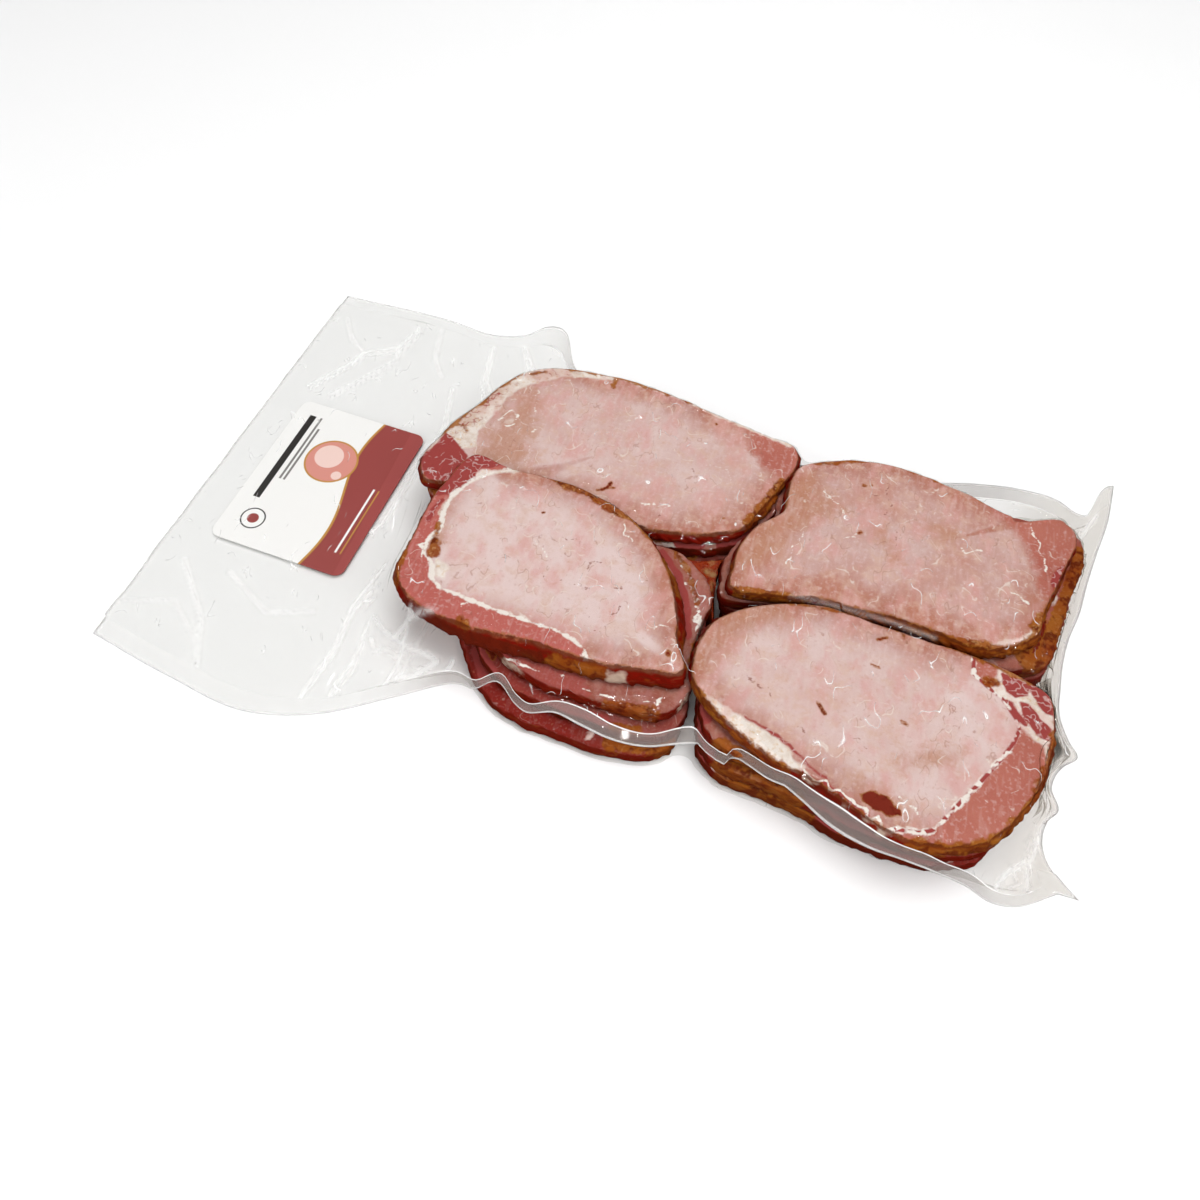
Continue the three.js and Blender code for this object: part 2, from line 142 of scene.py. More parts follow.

# What marks the slices that show, in plan. Each shape is a half width and points: a line that wide,
# or where it is 0 or less an area, made larger by so much.
# The thread marks are thin white lines: some are white fat, and the thin ones on the faces, as on
# front_left_2, are painted glints of the film.
MARKS = {
    "back_left_1": {
        "fat": [(0, (-90, 0), (-85, 22), (-73.5, 46), (-66, 57.5), (-56, 63), (-25.5, 67.5), (-27.5, 64.5),
            (-49, 60), (-58, 53), (-65, 47), (-68.5, 39.5), (-71, 28.5), (-74, 19.5), (-72, 12), (-76, 9)),
            (0.9, (-25, 66), (1, 63), (27, 57.5), (48, 53)), (0.9, (-80, 7.5), (-81.5, 0.5), (-81.5, -5.5)),
            (1.1, (-64, 28), (-63, 29))],
        "thread": [(0.35, (-67, 27.5), (-66.6, 30.8), (-64.6, 33), (-61.8, 32.4), (-60.6, 29.8), (-62, 26.2),
            (-64.6, 25)), (0.21, (18.5, 31.5), (27, 31.5), (29.5, 27)), (0.21, (-1.5, 4), (1.5, 5.5),
            (10, 7.5)), (0.24, (-58, 48), (-54.5, 32.5), (-51, 17.5), (-50, 9.5))],
        "lean": [(0, (-90, 0), (-87.5, 6.5), (-86, 15), (-78.5, 10), (-73, 6), (-72, -6), (-78, -11),
            (-88, -9))],
        "brown": [(0, (-70.5, 20.5), (-66.5, 33.5), (-61, 49), (-56, 47), (-53, 32), (-49.5, 4), (-70, 6)),
            (0.5, (-56.5, 47), (-53.3, 32.5), (-50, 17.5), (-48.7, 9)), (4, (-82, 20), (-72, 45)),
            (3, (-64, 54), (-50, 62))],
        "gold": [(0.5, (-83, 20.5), (-80, 20), (-78, 18)), (0.6, (-78, 33), (-76, 38)), (0.6, (-64, 55.5),
            (-59, 59)), (0.7, (-50.5, 64.5), (-25.5, 66.5), (1, 63.5), (14, 61)), (0.5, (-29.5, 64.5),
            (-28.5, 59.5)), (2.4, (41, 9), (46, 22), (49, 32)), (0.7, (-88, 12), (-79, 33), (-68, 55))],
        "spot": [(0.6, (-19, 6), (-16, 8.5), (-15.5, 11)), (0.5, (-16, 8.5), (-13.5, 9)), (0.45, (17, 54.5),
            (17.4, 54.2)), (0.4, (30.5, 8), (30.8, 8))],
        "crack": [(0.4, (5, -0.6), (7, 1), (9.5, 0.6)), (0.4, (11, 28.5), (16.5, 26))],
    },
    "front_left_1": {
        "fat": [(0, (-53, 3), (-49.5, 2.5), (-55.5, -1), (-61.5, -5), (-64, -8.5), (-67.5, -13.5),
            (-69.5, -22), (-69.5, -28.5), (-71.5, -27), (-70.5, -19.5), (-68, -12), (-65, -6), (-64.5, -2),
            (-59.5, -1)), (0, (-65.5, -45.5), (-61.5, -46.5), (-59, -48.5), (-59, -53), (-62, -53))],
        "thread": [(1.5, (9, -70.8), (13, -70.2)), (0.35, (-71, -38), (-72.5, -42), (-70, -46)),
            (0.24, (-34.5, -26.5), (-31, -29.5), (-26.5, -32.5)), (0.24, (-4, -9.5), (-2.5, -13.5),
            (0.5, -16)), (0.24, (16, -50.5), (19.5, -47.5), (22, -47.5)), (0.21, (-48, -60), (-49, -62.5))],
        "lean": [(0, (-68, 6), (-64, 4.5), (-57, 3.5), (-60.5, 0), (-64, -1), (-65.5, -4), (-64.5, -7.5),
            (-67.5, -13), (-70, -18), (-76, -20), (-75, -9), (-72, 2)), (0.8, (-72.5, -21), (-74, -25.5),
            (-74, -31)), (2.6, (-72, -65), (-50, -71.5), (-18, -71.5))],
        "brown": [(0, (-79, -50), (-77, -30), (-76, -18), (-71, -20), (-71, -36)), (3, (-70, -45),
            (-68, -38))],
        "gold": [(0, (-40.5, 4), (-31, 3.5), (-21.5, 1.5), (-11.5, -0.5), (-3.5, -5), (3, -9), (-3, -7),
            (-10, -6.5), (-14.5, -4), (-22.5, -1), (-30, -0.5), (-34, 1)), (1.7, (-68.5, -38.5),
            (-66.7, -44)), (1.1, (-47.3, -66.5), (-45, -68.5)), (0.9, (1, -7.5), (6, -12)),
            (2.8, (-13, -71.5), (5, -71.5)), (1.6, (15, -19), (22, -31)), (1.8, (31, -50), (34, -58)),
            (1, (-78, -40), (-76, -60)), (0.5, (-70, -31), (-68.5, -36))],
        "spot": [(0.8, (25, -57), (25.6, -57.5)), (0.5, (-20, -0.5), (-17, -2.5)), (0.4, (-35, -14),
            (-34.6, -14))],
        "crack": [(0.4, (-19, -40), (-14.5, -40.5), (-10, -40.5), (-6.5, -41.5)), (0.4, (-11.5, -32.5),
            (-11.5, -30.5), (-9.5, -29), (-7.5, -29)), (0.35, (-24.5, -23), (-15, -22.5)), (0.4, (-6, -51.5),
            (-2.5, -55.5), (0, -57.5)), (0.5, (2, -48), (4, -46.5), (4.5, -43.5)), (0.35, (13, -59.5),
            (14.5, -62), (14, -65)), (0.35, (-28, -38), (-24, -42)), (0.35, (6, -30), (12, -31)),
            (0.35, (-2, -36), (5, -38))],
    },
    "front_left_2": {
        "fat": [],
        "thread": [(0.5, (19, -12), (25.5, -20), (30.5, -31), (33, -42)), (0.3, (19.5, -69.5), (22.5, -63.5),
            (28, -65), (28.5, -69), (25.5, -73.5), (21, -72.5), (19.5, -69.5)), (0.3, (29, -66), (32, -61.5),
            (35.5, -64), (34.5, -69.5), (30.5, -70)), (0.3, (-10, -72), (4, -76), (18, -75)),
            (0.3, (24, -22), (30, -28), (33, -36)), (0.3, (-30, -72), (-16, -74))],
        "lean": [(2.5, (-46, -66), (-30, -72)), (1.3, (12, -11), (20, -19), (26.5, -31), (30, -44))],
        "brown": [],
        "gold": [(1.6, (10, -78), (26, -76)), (1.4, (34, -46), (35, -56)), (0.9, (16, -9), (24, -17),
            (30, -29))],
        "spot": [],
    },
    "front_left_3": {
        "fat": [],
        "lean": [(2, (-46, -62), (-34, -75)), (2, (-10, -81), (10, -81))],
        "gold": [(1.2, (14, -82), (22, -81))],
    },
    "front_left_4": {
        "fat": [(1, (6, -86), (7, -82))],
        "lean": [(2, (-44, -66), (-36, -76))],
        "gold": [(3, (14, -85), (34, -80))],
    },
    "back_right_1": {
        "fat": [(0, (159, 19.5), (154.5, 11), (153.5, 3), (150, -8), (153, -6), (157, 8)), (0.8, (134, -18),
            (143, -13), (148, -8))],
        "thread": [(0.35, (144, 41.5), (147.5, 35.5), (151, 26), (152, 21)), (0.21, (65.5, 32.5), (70.5, 28),
            (75.5, 24)), (0.21, (76, 10.5), (79, 13), (81, 15.4)), (0.21, (120, 20), (128, 23)),
            (0.21, (139, 8), (146, 4)), (0.24, (58, -7.5), (59, 1), (61.5, 10))],
        "lean": [(0, (163, 34), (159.5, 27.5), (155.5, 23.5), (153.5, 17.5), (154.5, 13), (157.5, 19),
            (161.5, 26.5))],
        "brown": [(0, (60.5, 29), (70, 31), (75.5, 25.5), (69.5, 21), (64.5, 13.5), (60, 13.5), (57.5, 21)),
            (2.5, (88, 20), (97, 8)), (3, (108, 28), (118, 27)), (6, (44, -8), (53, 10), (60, 34))],
        "gold": [(0, (152.5, 3), (149, -0.5), (146, -5), (147.5, -8), (150.5, -8)), (1.7, (43, -23.5),
            (60, -20.5), (80, -18.5), (104, -18), (126, -20.5)), (2.4, (126, -20), (140, -19), (151, -9)),
            (2.2, (154, 3), (160, 18), (166, 34)), (0.6, (60, 47), (87, 55), (121, 50), (140, 43.5)),
            (1.6, (60, 46), (68, 49))],
        "spot": [(0.6, (80, 40), (80.4, 40)), (0.5, (83, 41), (83.3, 41)), (0.7, (81.5, 16), (82, 16.3))],
        "crack": [(0.5, (88.5, 44.5), (89.5, 39), (91.5, 33.5), (90, 29.5), (92.5, 27), (95, 22),
            (97.5, 19)), (0.35, (95, 18), (96.5, 12), (97, 5.5)), (0.3, (50, -12), (56, -17)),
            (0.35, (84, 36), (87, 38))],
    },
    "front_right_1": {
        "fat": [(0, (38, -66.5), (43, -70.5), (49, -75), (55, -79), (60, -81.5), (65.5, -83.5), (74.5, -85),
            (78, -83), (74, -81), (71, -78), (66, -75), (61.5, -74), (56.5, -72), (51.5, -70.5), (46, -69),
            (41, -67.5)), (0, (137, -26), (155, -30.5), (157, -46.5), (154, -51), (145.5, -46.5),
            (140, -38.5), (135, -35.5)), (0.8, (145.5, -46.5), (149.5, -48.5), (154, -51.5), (155, -54),
            (154.5, -60), (152.5, -67))],
        "thread": [(0.35, (78, -84), (89, -87), (98, -91), (108, -95.5)), (0.21, (109, -84), (116, -88))],
        "lean": [(-0.8, (138.5, -28.5), (142.5, -29), (147, -30.5), (146.5, -33), (143, -35.5),
            (140.5, -34)), (-0.8, (147.5, -29.5), (152.5, -30.5), (155, -34), (155.5, -38.5), (153.5, -38.5),
            (151, -35)), (-0.7, (140, -38.5), (142, -39), (144.5, -42), (147, -45.5), (144.5, -44),
            (142, -42)), (-0.8, (145, -38), (147.5, -38), (149.5, -40.5), (151, -42), (154.5, -45),
            (155, -48), (153, -48.5), (149.5, -45.5), (147, -42.5)), (0.35, (55.5, -71.5), (61, -73),
            (67, -75), (71.5, -77), (75.5, -79.5), (80.5, -83), (85, -84.5)), (1.1, (78, -85.5), (86, -87),
            (92, -89.5), (99.5, -92.5))],
        "brown": [(3, (110, -70), (124, -64)), (5, (36, -54), (44, -38), (58, -28)), (2, (92, -82),
            (112, -88))],
        "gold": [(0, (132, -32.5), (134.5, -31), (138, -31), (136.5, -33.5), (133, -34.5)), (0.5, (103, -22),
            (105, -26)), (0.9, (35.5, -64), (41, -69.5), (52, -77), (62, -82), (73, -85)), (2.6, (116, -98),
            (126, -97), (138, -91.5), (146, -83), (152, -72.5), (156, -60), (158, -46)), (0.6, (60, -22.5),
            (86, -19.5), (119, -22), (150, -29))],
        "spot": [(0, (96, -86.5), (100, -84.2), (105, -85), (109, -87.5), (110, -89.3), (106.5, -91),
            (102, -90.5), (98, -89)), (0.5, (94.5, -27.5), (97.5, -26)), (0.5, (106.5, -57), (108, -57.5)),
            (0.4, (78, -59), (81, -62.5)), (0.35, (94, -38.5), (96.5, -39))],
        "crack": [(0.45, (52.5, -55.5), (55.5, -58), (58.5, -59), (63, -60.5)), (0.35, (53.5, -57.5),
            (58, -58)), (0.35, (73.5, -70), (76.5, -70.5)), (0.35, (70, -40), (76, -45)), (0.35, (112, -60),
            (116, -64)), (0.35, (88, -66), (96, -70)), (0.3, (120, -44), (124, -48))],
    },
    "front_right_2": {
        "lean": [(3, (40, -60), (43, -72))],
        "gold": [(2, (50, -80), (80, -86)), (2, (100, -90), (116, -92))],
    },
    "front_right_3": {
        "lean": [(4, (42, -70), (46, -79)), (3, (90, -90), (112, -94))],
        "gold": [(4, (54, -84), (78, -88)), (2.5, (124, -93), (146, -78))],
    },
    "front_right_4": {
        "lean": [(5, (42, -68), (47, -79)), (4, (92, -91), (125, -93))],
        "gold": [(4, (56, -85), (84, -89))],
    },
    "back_right_2": {
        "lean": [(3, (150, -12), (156, -10))],
        "gold": [(5, (150, -14), (160, -2), (165, 16), (169, 38))],
    },
    "back_right_3": {
        "gold": [(3, (160, -6), (163, 6)), (3, (168, 30), (169, 44))],
    },
}
# Marks of the slices that mostly hide: kind, how many, half width, and where between middle and edge.
RANDOM_MARKS = (("lean", 7, 2.2, 0.9, 1.0), ("fat", 6, 1.0, 0.9, 1.0), ("brown", 3, 5, 0.2, 0.8),
                ("gold", 9, 2.0, 0.9, 1.0), ("spot", 2, 1, 0.9, 1.0))
MARK_SPAN = (0.05, 0.3)      # how far round the slice such a mark runs, in radians
MARK_WIDTHS = (0.6, 1.5)     # and the shares between which its width varies
# The line between the pale eye of a slice and its redder cap, from one edge to the other with the
# cap on its left hand. Where it is a seam, white fat runs along it, and with dashes, dark lean too.
CAP_LINES = {
    "back_left": [
        (30, 60), (33, 46), (40, 38), (52, 34)],
    "front_left": [
        (1, -74), (-2.5, -65), (-6.5, -63), (-15.5, -60.5), (-24, -60.5), (-40.5, -59), (-53.5, -57.5),
        (-59.5, -56.5), (-63.5, -53.5), (-66, -47.5), (-70, -44.5), (-71, -39.5), (-68.5, -33.5),
        (-69.5, -27.5), (-70, -18.5), (-64.5, -7.5), (-59, -2), (-49, 8)],
    "back_right": [
        (124, 54), (130, 43.5), (136, 40), (141, 35), (145, 28), (148, 20), (150, 11), (157, 0)],
    "front_right": [
        (128, -20), (128.5, -31), (135, -35.5), (138.5, -37.5), (141.5, -41), (144, -44.5), (145, -48),
        (143.5, -53), (140, -60), (134, -70), (128.5, -78.5), (123.5, -86.5), (120, -91.5), (116, -93.5),
        (109, -94.5), (102, -99)],
}
SEAMS = {"front_left_1": 0, "front_right_1": 1}
NO_CAP = 30.0                # the cap's field beyond this distance stays the same
SOFT_CAP = 0.35              # the cap's border is so much wider where no seam marks it
# The kinds of marks, and how far each strays from the shape given.
FIELDS = {"lean": 0.2, "fat": 0.2, "thread": 0.7, "brown": 0.2, "gold": 0.2, "spot": 0.2, "crack": 0.7}
STRAY_SIZE = 4.5
NO_MARK = -9.0               # a field where no mark is near

# ---- The film ----

# The welded seams, as [x, root y, root z, tip y, tip z]: the root is where the two films meet, and
# the tip is the cut edge. The front seam waves and rides half way up the stacks.
FRONT_WELD = [
    (-186, -91.6, 0.5, -99.6, 0.4), (-150, -99, 0.5, -107, 0.4), (-114, -103, 0.5, -111, 0.4),
    (-90, -97, 1, -104, 0.6), (-65, -84, 6, -90, 3.5), (-46, -77.5, 12, -81.5, 9), (-38, -79.5, 14, -81, 11),
    (-31, -74.8, 16, -78, 13.5), (-22, -82.2, 18.5, -84.5, 15.5), (-17, -84.7, 19.5, -87, 16.5),
    (-7, -81.3, 21, -85, 18), (3, -81.4, 21, -87, 18.5), (14, -83.8, 20.5, -88.5, 18),
    (28, -82.2, 19.5, -86.6, 17), (36, -76.6, 18, -82.6, 15.5), (45, -73, 18.5, -79.6, 16),
    (52, -73.8, 21, -79.7, 18), (61, -78.6, 24.5, -82, 20.5), (70, -83.2, 27, -86.5, 22),
    (80, -88, 27.5, -91.8, 22.5), (90, -91.2, 27.5, -97.3, 22.5), (102, -93.4, 27.5, -100.5, 22.5),
    (114, -96.5, 26.5, -100.8, 21.5), (126, -98.3, 24, -101, 19.5), (137, -97.4, 19, -100.8, 15),
    (147, -98, 12, -101.5, 9), (158, -95, 8, -98.6, 5), (171, -84, 5, -90, 3.5),
]
BACK_WELD = [
    (-176, 95, 0.5, 101.5, 0.4), (-122, 95.5, 0.5, 102, 0.4), (-95, 93, 0.6, 100, 0.5),
    (-83, 95, 1, 104, 1.5), (-74, 98, 3, 110, 4), (-64, 95, 4, 107, 5), (-55, 82, 6, 89, 5),
    (-45, 74, 8, 79, 6), (-38, 70, 8, 75, 6), (0, 68.5, 8, 73, 6), (30, 64, 8, 68.5, 6),
    (60, 58.5, 8, 62.5, 6), (90, 58.5, 8, 64, 7), (110, 61, 9, 68, 9), (130, 65, 10, 74, 9),
    (148, 67, 11, 77, 9), (162, 65, 11, 75, 10), (170, 61, 11.5, 69, 11.5), (173, 61.5, 12, 69.5, 12),
    (175.5, 65.5, 12, 76.5, 12), (178, 70.5, 12, 83, 12), (181, 75, 12, 87.5, 12), (184, 78, 12, 89, 12),
]
TAIL_X = -185.2
TAIL_EDGE = [(-99.6, -185.2), (101.5, -175)]          # the cut end of the flap, as [y, x]
TAIL_BEND = 60               # the sections turn from the cut end's slant over this length
# The cut end at the other side, as [y, x, z].
END_EDGE = [
    (-90, 178, 3.5), (-83, 168.5, 4.5), (-75, 163.5, 7), (-69, 163.5, 10), (-65, 166.5, 11.5),
    (-57, 164, 12), (-48, 167.5, 12.5), (-43.5, 172, 13), (-38, 169, 13), (-30, 165.8, 13), (-16, 165.5, 13),
    (-8, 166.3, 12), (6, 168.5, 12), (18, 172, 12), (34, 175, 12), (50, 178.5, 12), (68, 182.8, 12),
    (88, 185.2, 12),
]
END_X = 168                  # a section that reaches this far along is bent to END_EDGE
END_WELD = 3.5
TAIL_CLOSING = 6             # the two films come together over this length at the flap's end,
END_CLOSING = 1.5            # and over this one at the other
BEND_FROM = 118              # between these the sections bend towards END_EDGE
BEND_TO = 160
FLAP_TOP = 1.3               # the upper film of the empty flap lies this high
FLAP_SWELLS = ((0.28, 34, 5), (0.12, 13, 6))     # and rises and dips: height, size and seed
FOOT = 0.12                  # the underside's height above the table
RAISED_FROM = 100            # past this along X the underside may rise to the seams
UNDER_SAG = 0.03             # how far the underside settles in a pass
UNDER_GAP = 0.5              # its distance to a slice that hangs over the next one's edge
UNDER_MARGIN = 3             # it is drawn up this far outside the seams too
FLAT_TO = -60                # before this along X it lies flat
FILM_GAP = 0.35              # the film stays this far off the slices
OVERHANG = 1.1               # a slice carries the film this far outside its outline
PINCH = 0.16                 # distance between the two films where they are welded
LOOSE_WELD = 9.0             # how loose a seam counts
END_LIFT = (26, 18)          # film rises to the cut end's height from so far before it, over so long
LATTICE = 1.25               # spacing of the points where the film's height is worked out
LATTICE_REACH = (194, 118)   # how far they go from the middle, along X and along Y
CORE = np.s_[1:-1, 1:-1]     # the points of a lattice that have neighbours all round
PULL = 6.5                   # radius that the vacuum gives to film that spans a gap
DRAPE_PASSES = 420
WALL_PASSES = 160
WALL_LEVELS = np.linspace(0, 32, 33)
WALL_GAP = 0.9               # slack of the film round the walls
WALL_SAG = 0.02              # how far it is drawn in, in a pass
FOOT_IN = (0.35, 5)          # its foot goes in by this share of the root's height, up to so far
NEAR_STATION = (1.2, 1.5)    # an outline's point this near a section counts, for a wall and for a seam
STATION_STEPS = ((-110, 1.8), (-62, 1.05), (150, 1.45), (1e3, 1.0))  # [up to x, spacing along X]
ACROSS = 152                 # points across the film between its seams
WELD_POINTS = 9              # points across a seam
WELD_STEP = 0.9              # spacing of those points
LEAST_WELD = 2.5
SEAM_CLEAR = 1.2             # a seam's root stays this far off the slices
SEAM_GUESS = 80.0            # where the search for a seam's root begins
OUTLINE_POINTS = 1440
TOP_SAMPLES = 600            # points along a section before they are spread evenly: the upper film,
UNDER_SAMPLES = 300          # the underside,
WALL_SAMPLES = 40            # and a side wall
SAME_POINT = 0.00001         # in metres

# The heat-sealed band across the flap, the creases that stand up in the film, as lines of [x, y]
# with a height and a width, and the round folds as [x, y, reach along X, along Y, height].
SEAL_X = -107
SEAL_BAND = 5
SEAL_HEIGHT = 0.55
SEAL_RAMP = 2.5              # the film comes down to the band over this length,
SEAL_PRESS = 0.85            # by this share of its height
# The white line along a crease is a painted highlight.
CREASE_WHITE = 0.9           # half width of the white line along a crease
CREASE_FADE = 4              # creases die away this near a seam,
CREASE_LOOSE = 1.5           # and where the film is less loose than this
FOLD_SPREAD = 1.6            # a fold dies away at so many times its reach
CREASES = [
    ([(-165, 40), (-155, 57), (-150, 68), (-136, 75), (-132, 90)], 1.1, 2.2),
    ([(-136, 75), (-135, 67), (-154, 38)], 0.8, 2.0), ([(-150, 68), (-160, 74), (-168, 86)], 0.5, 2.4),
    ([(-86, -64), (-78, -70), (-66, -75), (-54, -77)], 2.2, 2.4),
    ([(-68, -83), (-56, -84), (-48, -76)], 1.6, 2.2), ([(-67, -66), (-72, -90), (-70, -100)], 1.5, 2.2),
    ([(-100, -104), (-96, -80), (-97, -60), (-92, -40)], 1.1, 2.4),
    ([(-90, -100), (-86, -80), (-88, -66)], 1.2, 2.0),
    ([(-104, 60), (-98, 36), (-101, 10), (-103, -20)], 1.2, 2.4),
    ([(-95, 90), (-92, 66), (-84, 50)], 1.3, 2.2), ([(-82, 96), (-74, 80), (-66, 70)], 1.8, 2.6),
    ([(-170, -60), (-150, -82), (-140, -104)], 0.7, 2.4),
    ([(-182, -84), (-164, -78), (-146, -92)], 0.5, 2.0), ([(-124, 98), (-118, 74), (-112, 66)], 0.6, 2.0),
    ([(-150, -60), (-128, -72), (-112, -66)], 0.5, 2.0), ([(146, -100), (150, -92), (158, -84)], 1.4, 2.0),
    ([(160, -96), (160, -86), (163, -70)], 1.4, 1.8), ([(170, 80), (165, 66), (158, 56)], 1.6, 2.0),
    ([(178, 70), (170, 52), (164, 44)], 1.2, 2.0),
    ([(62, -18.8), (82, -18.4), (98, -18.6), (114, -20.5)], 0.4, 1.0),
    ([(164, -34), (169, -42), (162, -52)], 0.5, 1.6), ([(160, -60), (166, -68), (160, -78)], 0.5, 1.6),
    ([(-74, -72), (-66, -68), (-58, -66)], 1.6, 1.8), ([(-66, -92), (-61, -81), (-54, -77)], 1.4, 1.8),
]
FOLDS = [
    (-70, 96, 8, 9, 4.2), (-96, -62, 3.5, 28, 1.2), (-88, -80, 5, 22, 1.8), (-98, 50, 4, 26, 1.0),
    (-140, 80, 16, 7, 1.3), (-146, -86, 14, 7, 1.2), (-172, 10, 8, 30, 0.7), (-118, 60, 8, 20, 0.6),
]

# ---- The label ----

LABEL_MIDDLE = (-135.2, -8.8)
LABEL_TURN = -3
LABEL_SIZE = (59, 78)
LABEL_COVER = 2.35           # the film over the label lies this high,
LABEL_SWELL = (0.1, 16, 7)   # rises and dips by this height, with this size and seed,
LABEL_RAMP = 5               # and comes down beside it over this length

# ---- The photograph's view: the camera's place, its three axes and its lens ----

CAMERA_PLACE = (33.15, -202.07, 300.74)
CAMERA_RIGHT = (0.9567, 0.2884, 0.0395)
CAMERA_UP = (-0.267, 0.8155, 0.5135)
CAMERA_BACK = (0.1159, -0.5018, 0.8572)
CAMERA_LENS = 26.58
CAMERA_SENSOR = 36


def linear(code):
    """An sRGB hex colour as linear red, green, blue."""
    parts = (int(code[i:i + 2], 16) / 255 for i in (1, 3, 5))
    return tuple(c / 12.92 if c <= 0.04045 else ((c + 0.055) / 1.055) ** 2.4 for c in parts)


# ---- Helpers for shapes ----

def through(table, at):
    """Smooth curves through a table's rows, whose first column is the place, held level outside it."""
    rows = np.array(table, float)
    place, values = rows[:, 0], rows[:, 1:]
    slope = np.gradient(values, place, axis=0)
    at = np.clip(np.asarray(at, float), place[0], place[-1])
    i = np.clip(np.searchsorted(place, at) - 1, 0, len(place) - 2)
    gap = (place[i + 1] - place[i])[..., None]
    t = (at[..., None] - place[i][..., None]) / gap
    low, high = values[i], values[i + 1]
    result = ((2 * t ** 3 - 3 * t ** 2 + 1) * low + (t ** 3 - 2 * t ** 2 + t) * gap * slope[i]
              + (3 * t ** 2 - 2 * t ** 3) * high + (t ** 3 - t ** 2) * gap * slope[i + 1])
    return np.moveaxis(result, -1, 0)


def smooth(t):
    """0 below 0, 1 above 1 and a soft step between."""
    t = np.clip(t, 0, 1)
    return t * t * (3 - 2 * t)


def swell(x, y, size, seed, waves=7):
    """A smooth random height between about -1 and 1, with bumps about size across."""
    rng = np.random.default_rng(SEED * 1000 + seed)
    total = np.zeros(np.broadcast(x, y).shape)
    for _ in range(waves):
        way, phase = rng.uniform(0, 2 * math.pi, 2)
        length = size * rng.uniform(0.75, 1.7)
        total += np.sin(2 * math.pi * (x * math.cos(way) + y * math.sin(way)) / length + phase)
    return total / waves ** 0.5


def to_line(x, y, line):
    """Distance to a line of points, and that distance with a minus sign on its right hand."""
    best = np.full(np.shape(x), FAR_OFF)
    signed = -best
    for (ax, ay), (bx, by) in zip(line, line[1:]):
        dx, dy = bx - ax, by - ay
        t = np.clip(((x - ax) * dx + (y - ay) * dy) / (dx * dx + dy * dy), 0, 1)
        away = np.hypot(x - ax - t * dx, y - ay - t * dy)
        side = np.sign(dx * (y - ay) - dy * (x - ax))
        nearer = away < best
        signed = np.where(nearer, away * side, signed)
        best = np.where(nearer, away, best)
    return best, signed


def along(points, count):
    """Points spread evenly along a polyline."""
    step = np.linalg.norm(np.diff(points, axis=0), axis=1)
    run = np.concatenate([[0], np.cumsum(step)])
    where = np.linspace(0, run[-1], count)
    return np.stack([np.interp(where, run, column) for column in points.T], axis=1)


def turned(dx, dy, degrees):
    """A plan vector turned anticlockwise."""
    c, s = math.cos(math.radians(degrees)), math.sin(math.radians(degrees))
    return dx * c - dy * s, dx * s + dy * c


def new_grid(name, nx, ny):
    """A flat square of nx by ny points, from -1 to 1, alone in the selection."""
    if bpy.context.object and bpy.context.object.mode != "OBJECT":
        bpy.ops.object.mode_set(mode="OBJECT")
    bpy.ops.object.select_all(action="DESELECT")
    bpy.ops.mesh.primitive_grid_add(x_subdivisions=nx - 1, y_subdivisions=ny - 1, size=2)
    piece = bpy.context.object
    piece.name = piece.data.name = name
    return piece


def points_of(piece, unit=MM):
    """A mesh's points, in millimetres or another unit."""
    flat = np.empty(len(piece.data.vertices) * 3)
    piece.data.vertices.foreach_get("co", flat)
    return flat.reshape(-1, 3) / unit


def place_points(piece, *points):
    """Puts a mesh's points at these x, y and z, given in millimetres."""
    piece.data.vertices.foreach_set("co", (np.stack(points, axis=1) * MM).ravel())
    piece.data.update()


def store(piece, name, values):
    """Keeps a number for each point, which a material reads by name."""
    field = piece.data.attributes.new(name, "FLOAT", "POINT")
    field.data.foreach_set("value", np.asarray(values, np.float32).ravel())


def finish_piece(piece, material):
    """Smooth shading, its material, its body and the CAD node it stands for."""
    for face in piece.data.polygons:
        face.use_smooth = True
    piece.data.materials.clear()
    piece.data.materials.append(material)
    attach(piece, BODY)
    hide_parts("pouch")


# ---- The form of a slice ----

def list_slices():
    """All sixteen slices, top slices first in each stack, and last the jelly between the stacks."""
    slices = []
    for number, (stack, top) in enumerate(STACKS.items()):
        shifts = [(0, 0, 0, 0, 0, top["top"])] + LOWER[stack]
        for level, (dx, dy, longer, wider, turn, height) in enumerate(shifts):
            edge = top["edge"] if level == 0 else LOWER_EDGES.get(stack, top["edge"])
            slices.append(dict(
                name=f"{stack}_{level + 1}", stack=stack, level=level, x=top["x"] + dx, y=top["y"] + dy,
                long=1 + longer, wide=1 + wider, turn=turn, top=height,
                bottom=FLOOR_GAP if level == 3 else shifts[level + 1][-1] + SPACE,
                pale=top["pale"], red=top["red"], seed=number * 10 + level,
                reach=edge_reach(edge, top["x"], top["y"]), rough=WOBBLE[level > 0],
                lean=LOWER_LEAN if level else LEAN[stack]))
    jelly = dict(name="juices", stack="juices", level=2, x=JUICE_MIDDLE[0], y=JUICE_MIDDLE[1], long=1,
                 wide=1, turn=0, top=JUICE_TOP, bottom=FLOOR_GAP, pale=0, red=0, seed=99, rough=0, lean=0)
    beside = [one for one in slices if one["bottom"] < JUICE_TOP]
    reach = np.full(RAYS, float(JUICE_REACH[0]))
    free = np.ones(RAYS, bool)
    for far in np.arange(*JUICE_REACH):
        x, y = jelly["x"] + far * np.cos(ROUND), jelly["y"] + far * np.sin(ROUND)
        for one in beside:
            free &= depth_inside(one, x, y) < -JUICE_GAP
        reach = np.where(free, far, reach)
    return slices + [dict(jelly, reach=reach)]


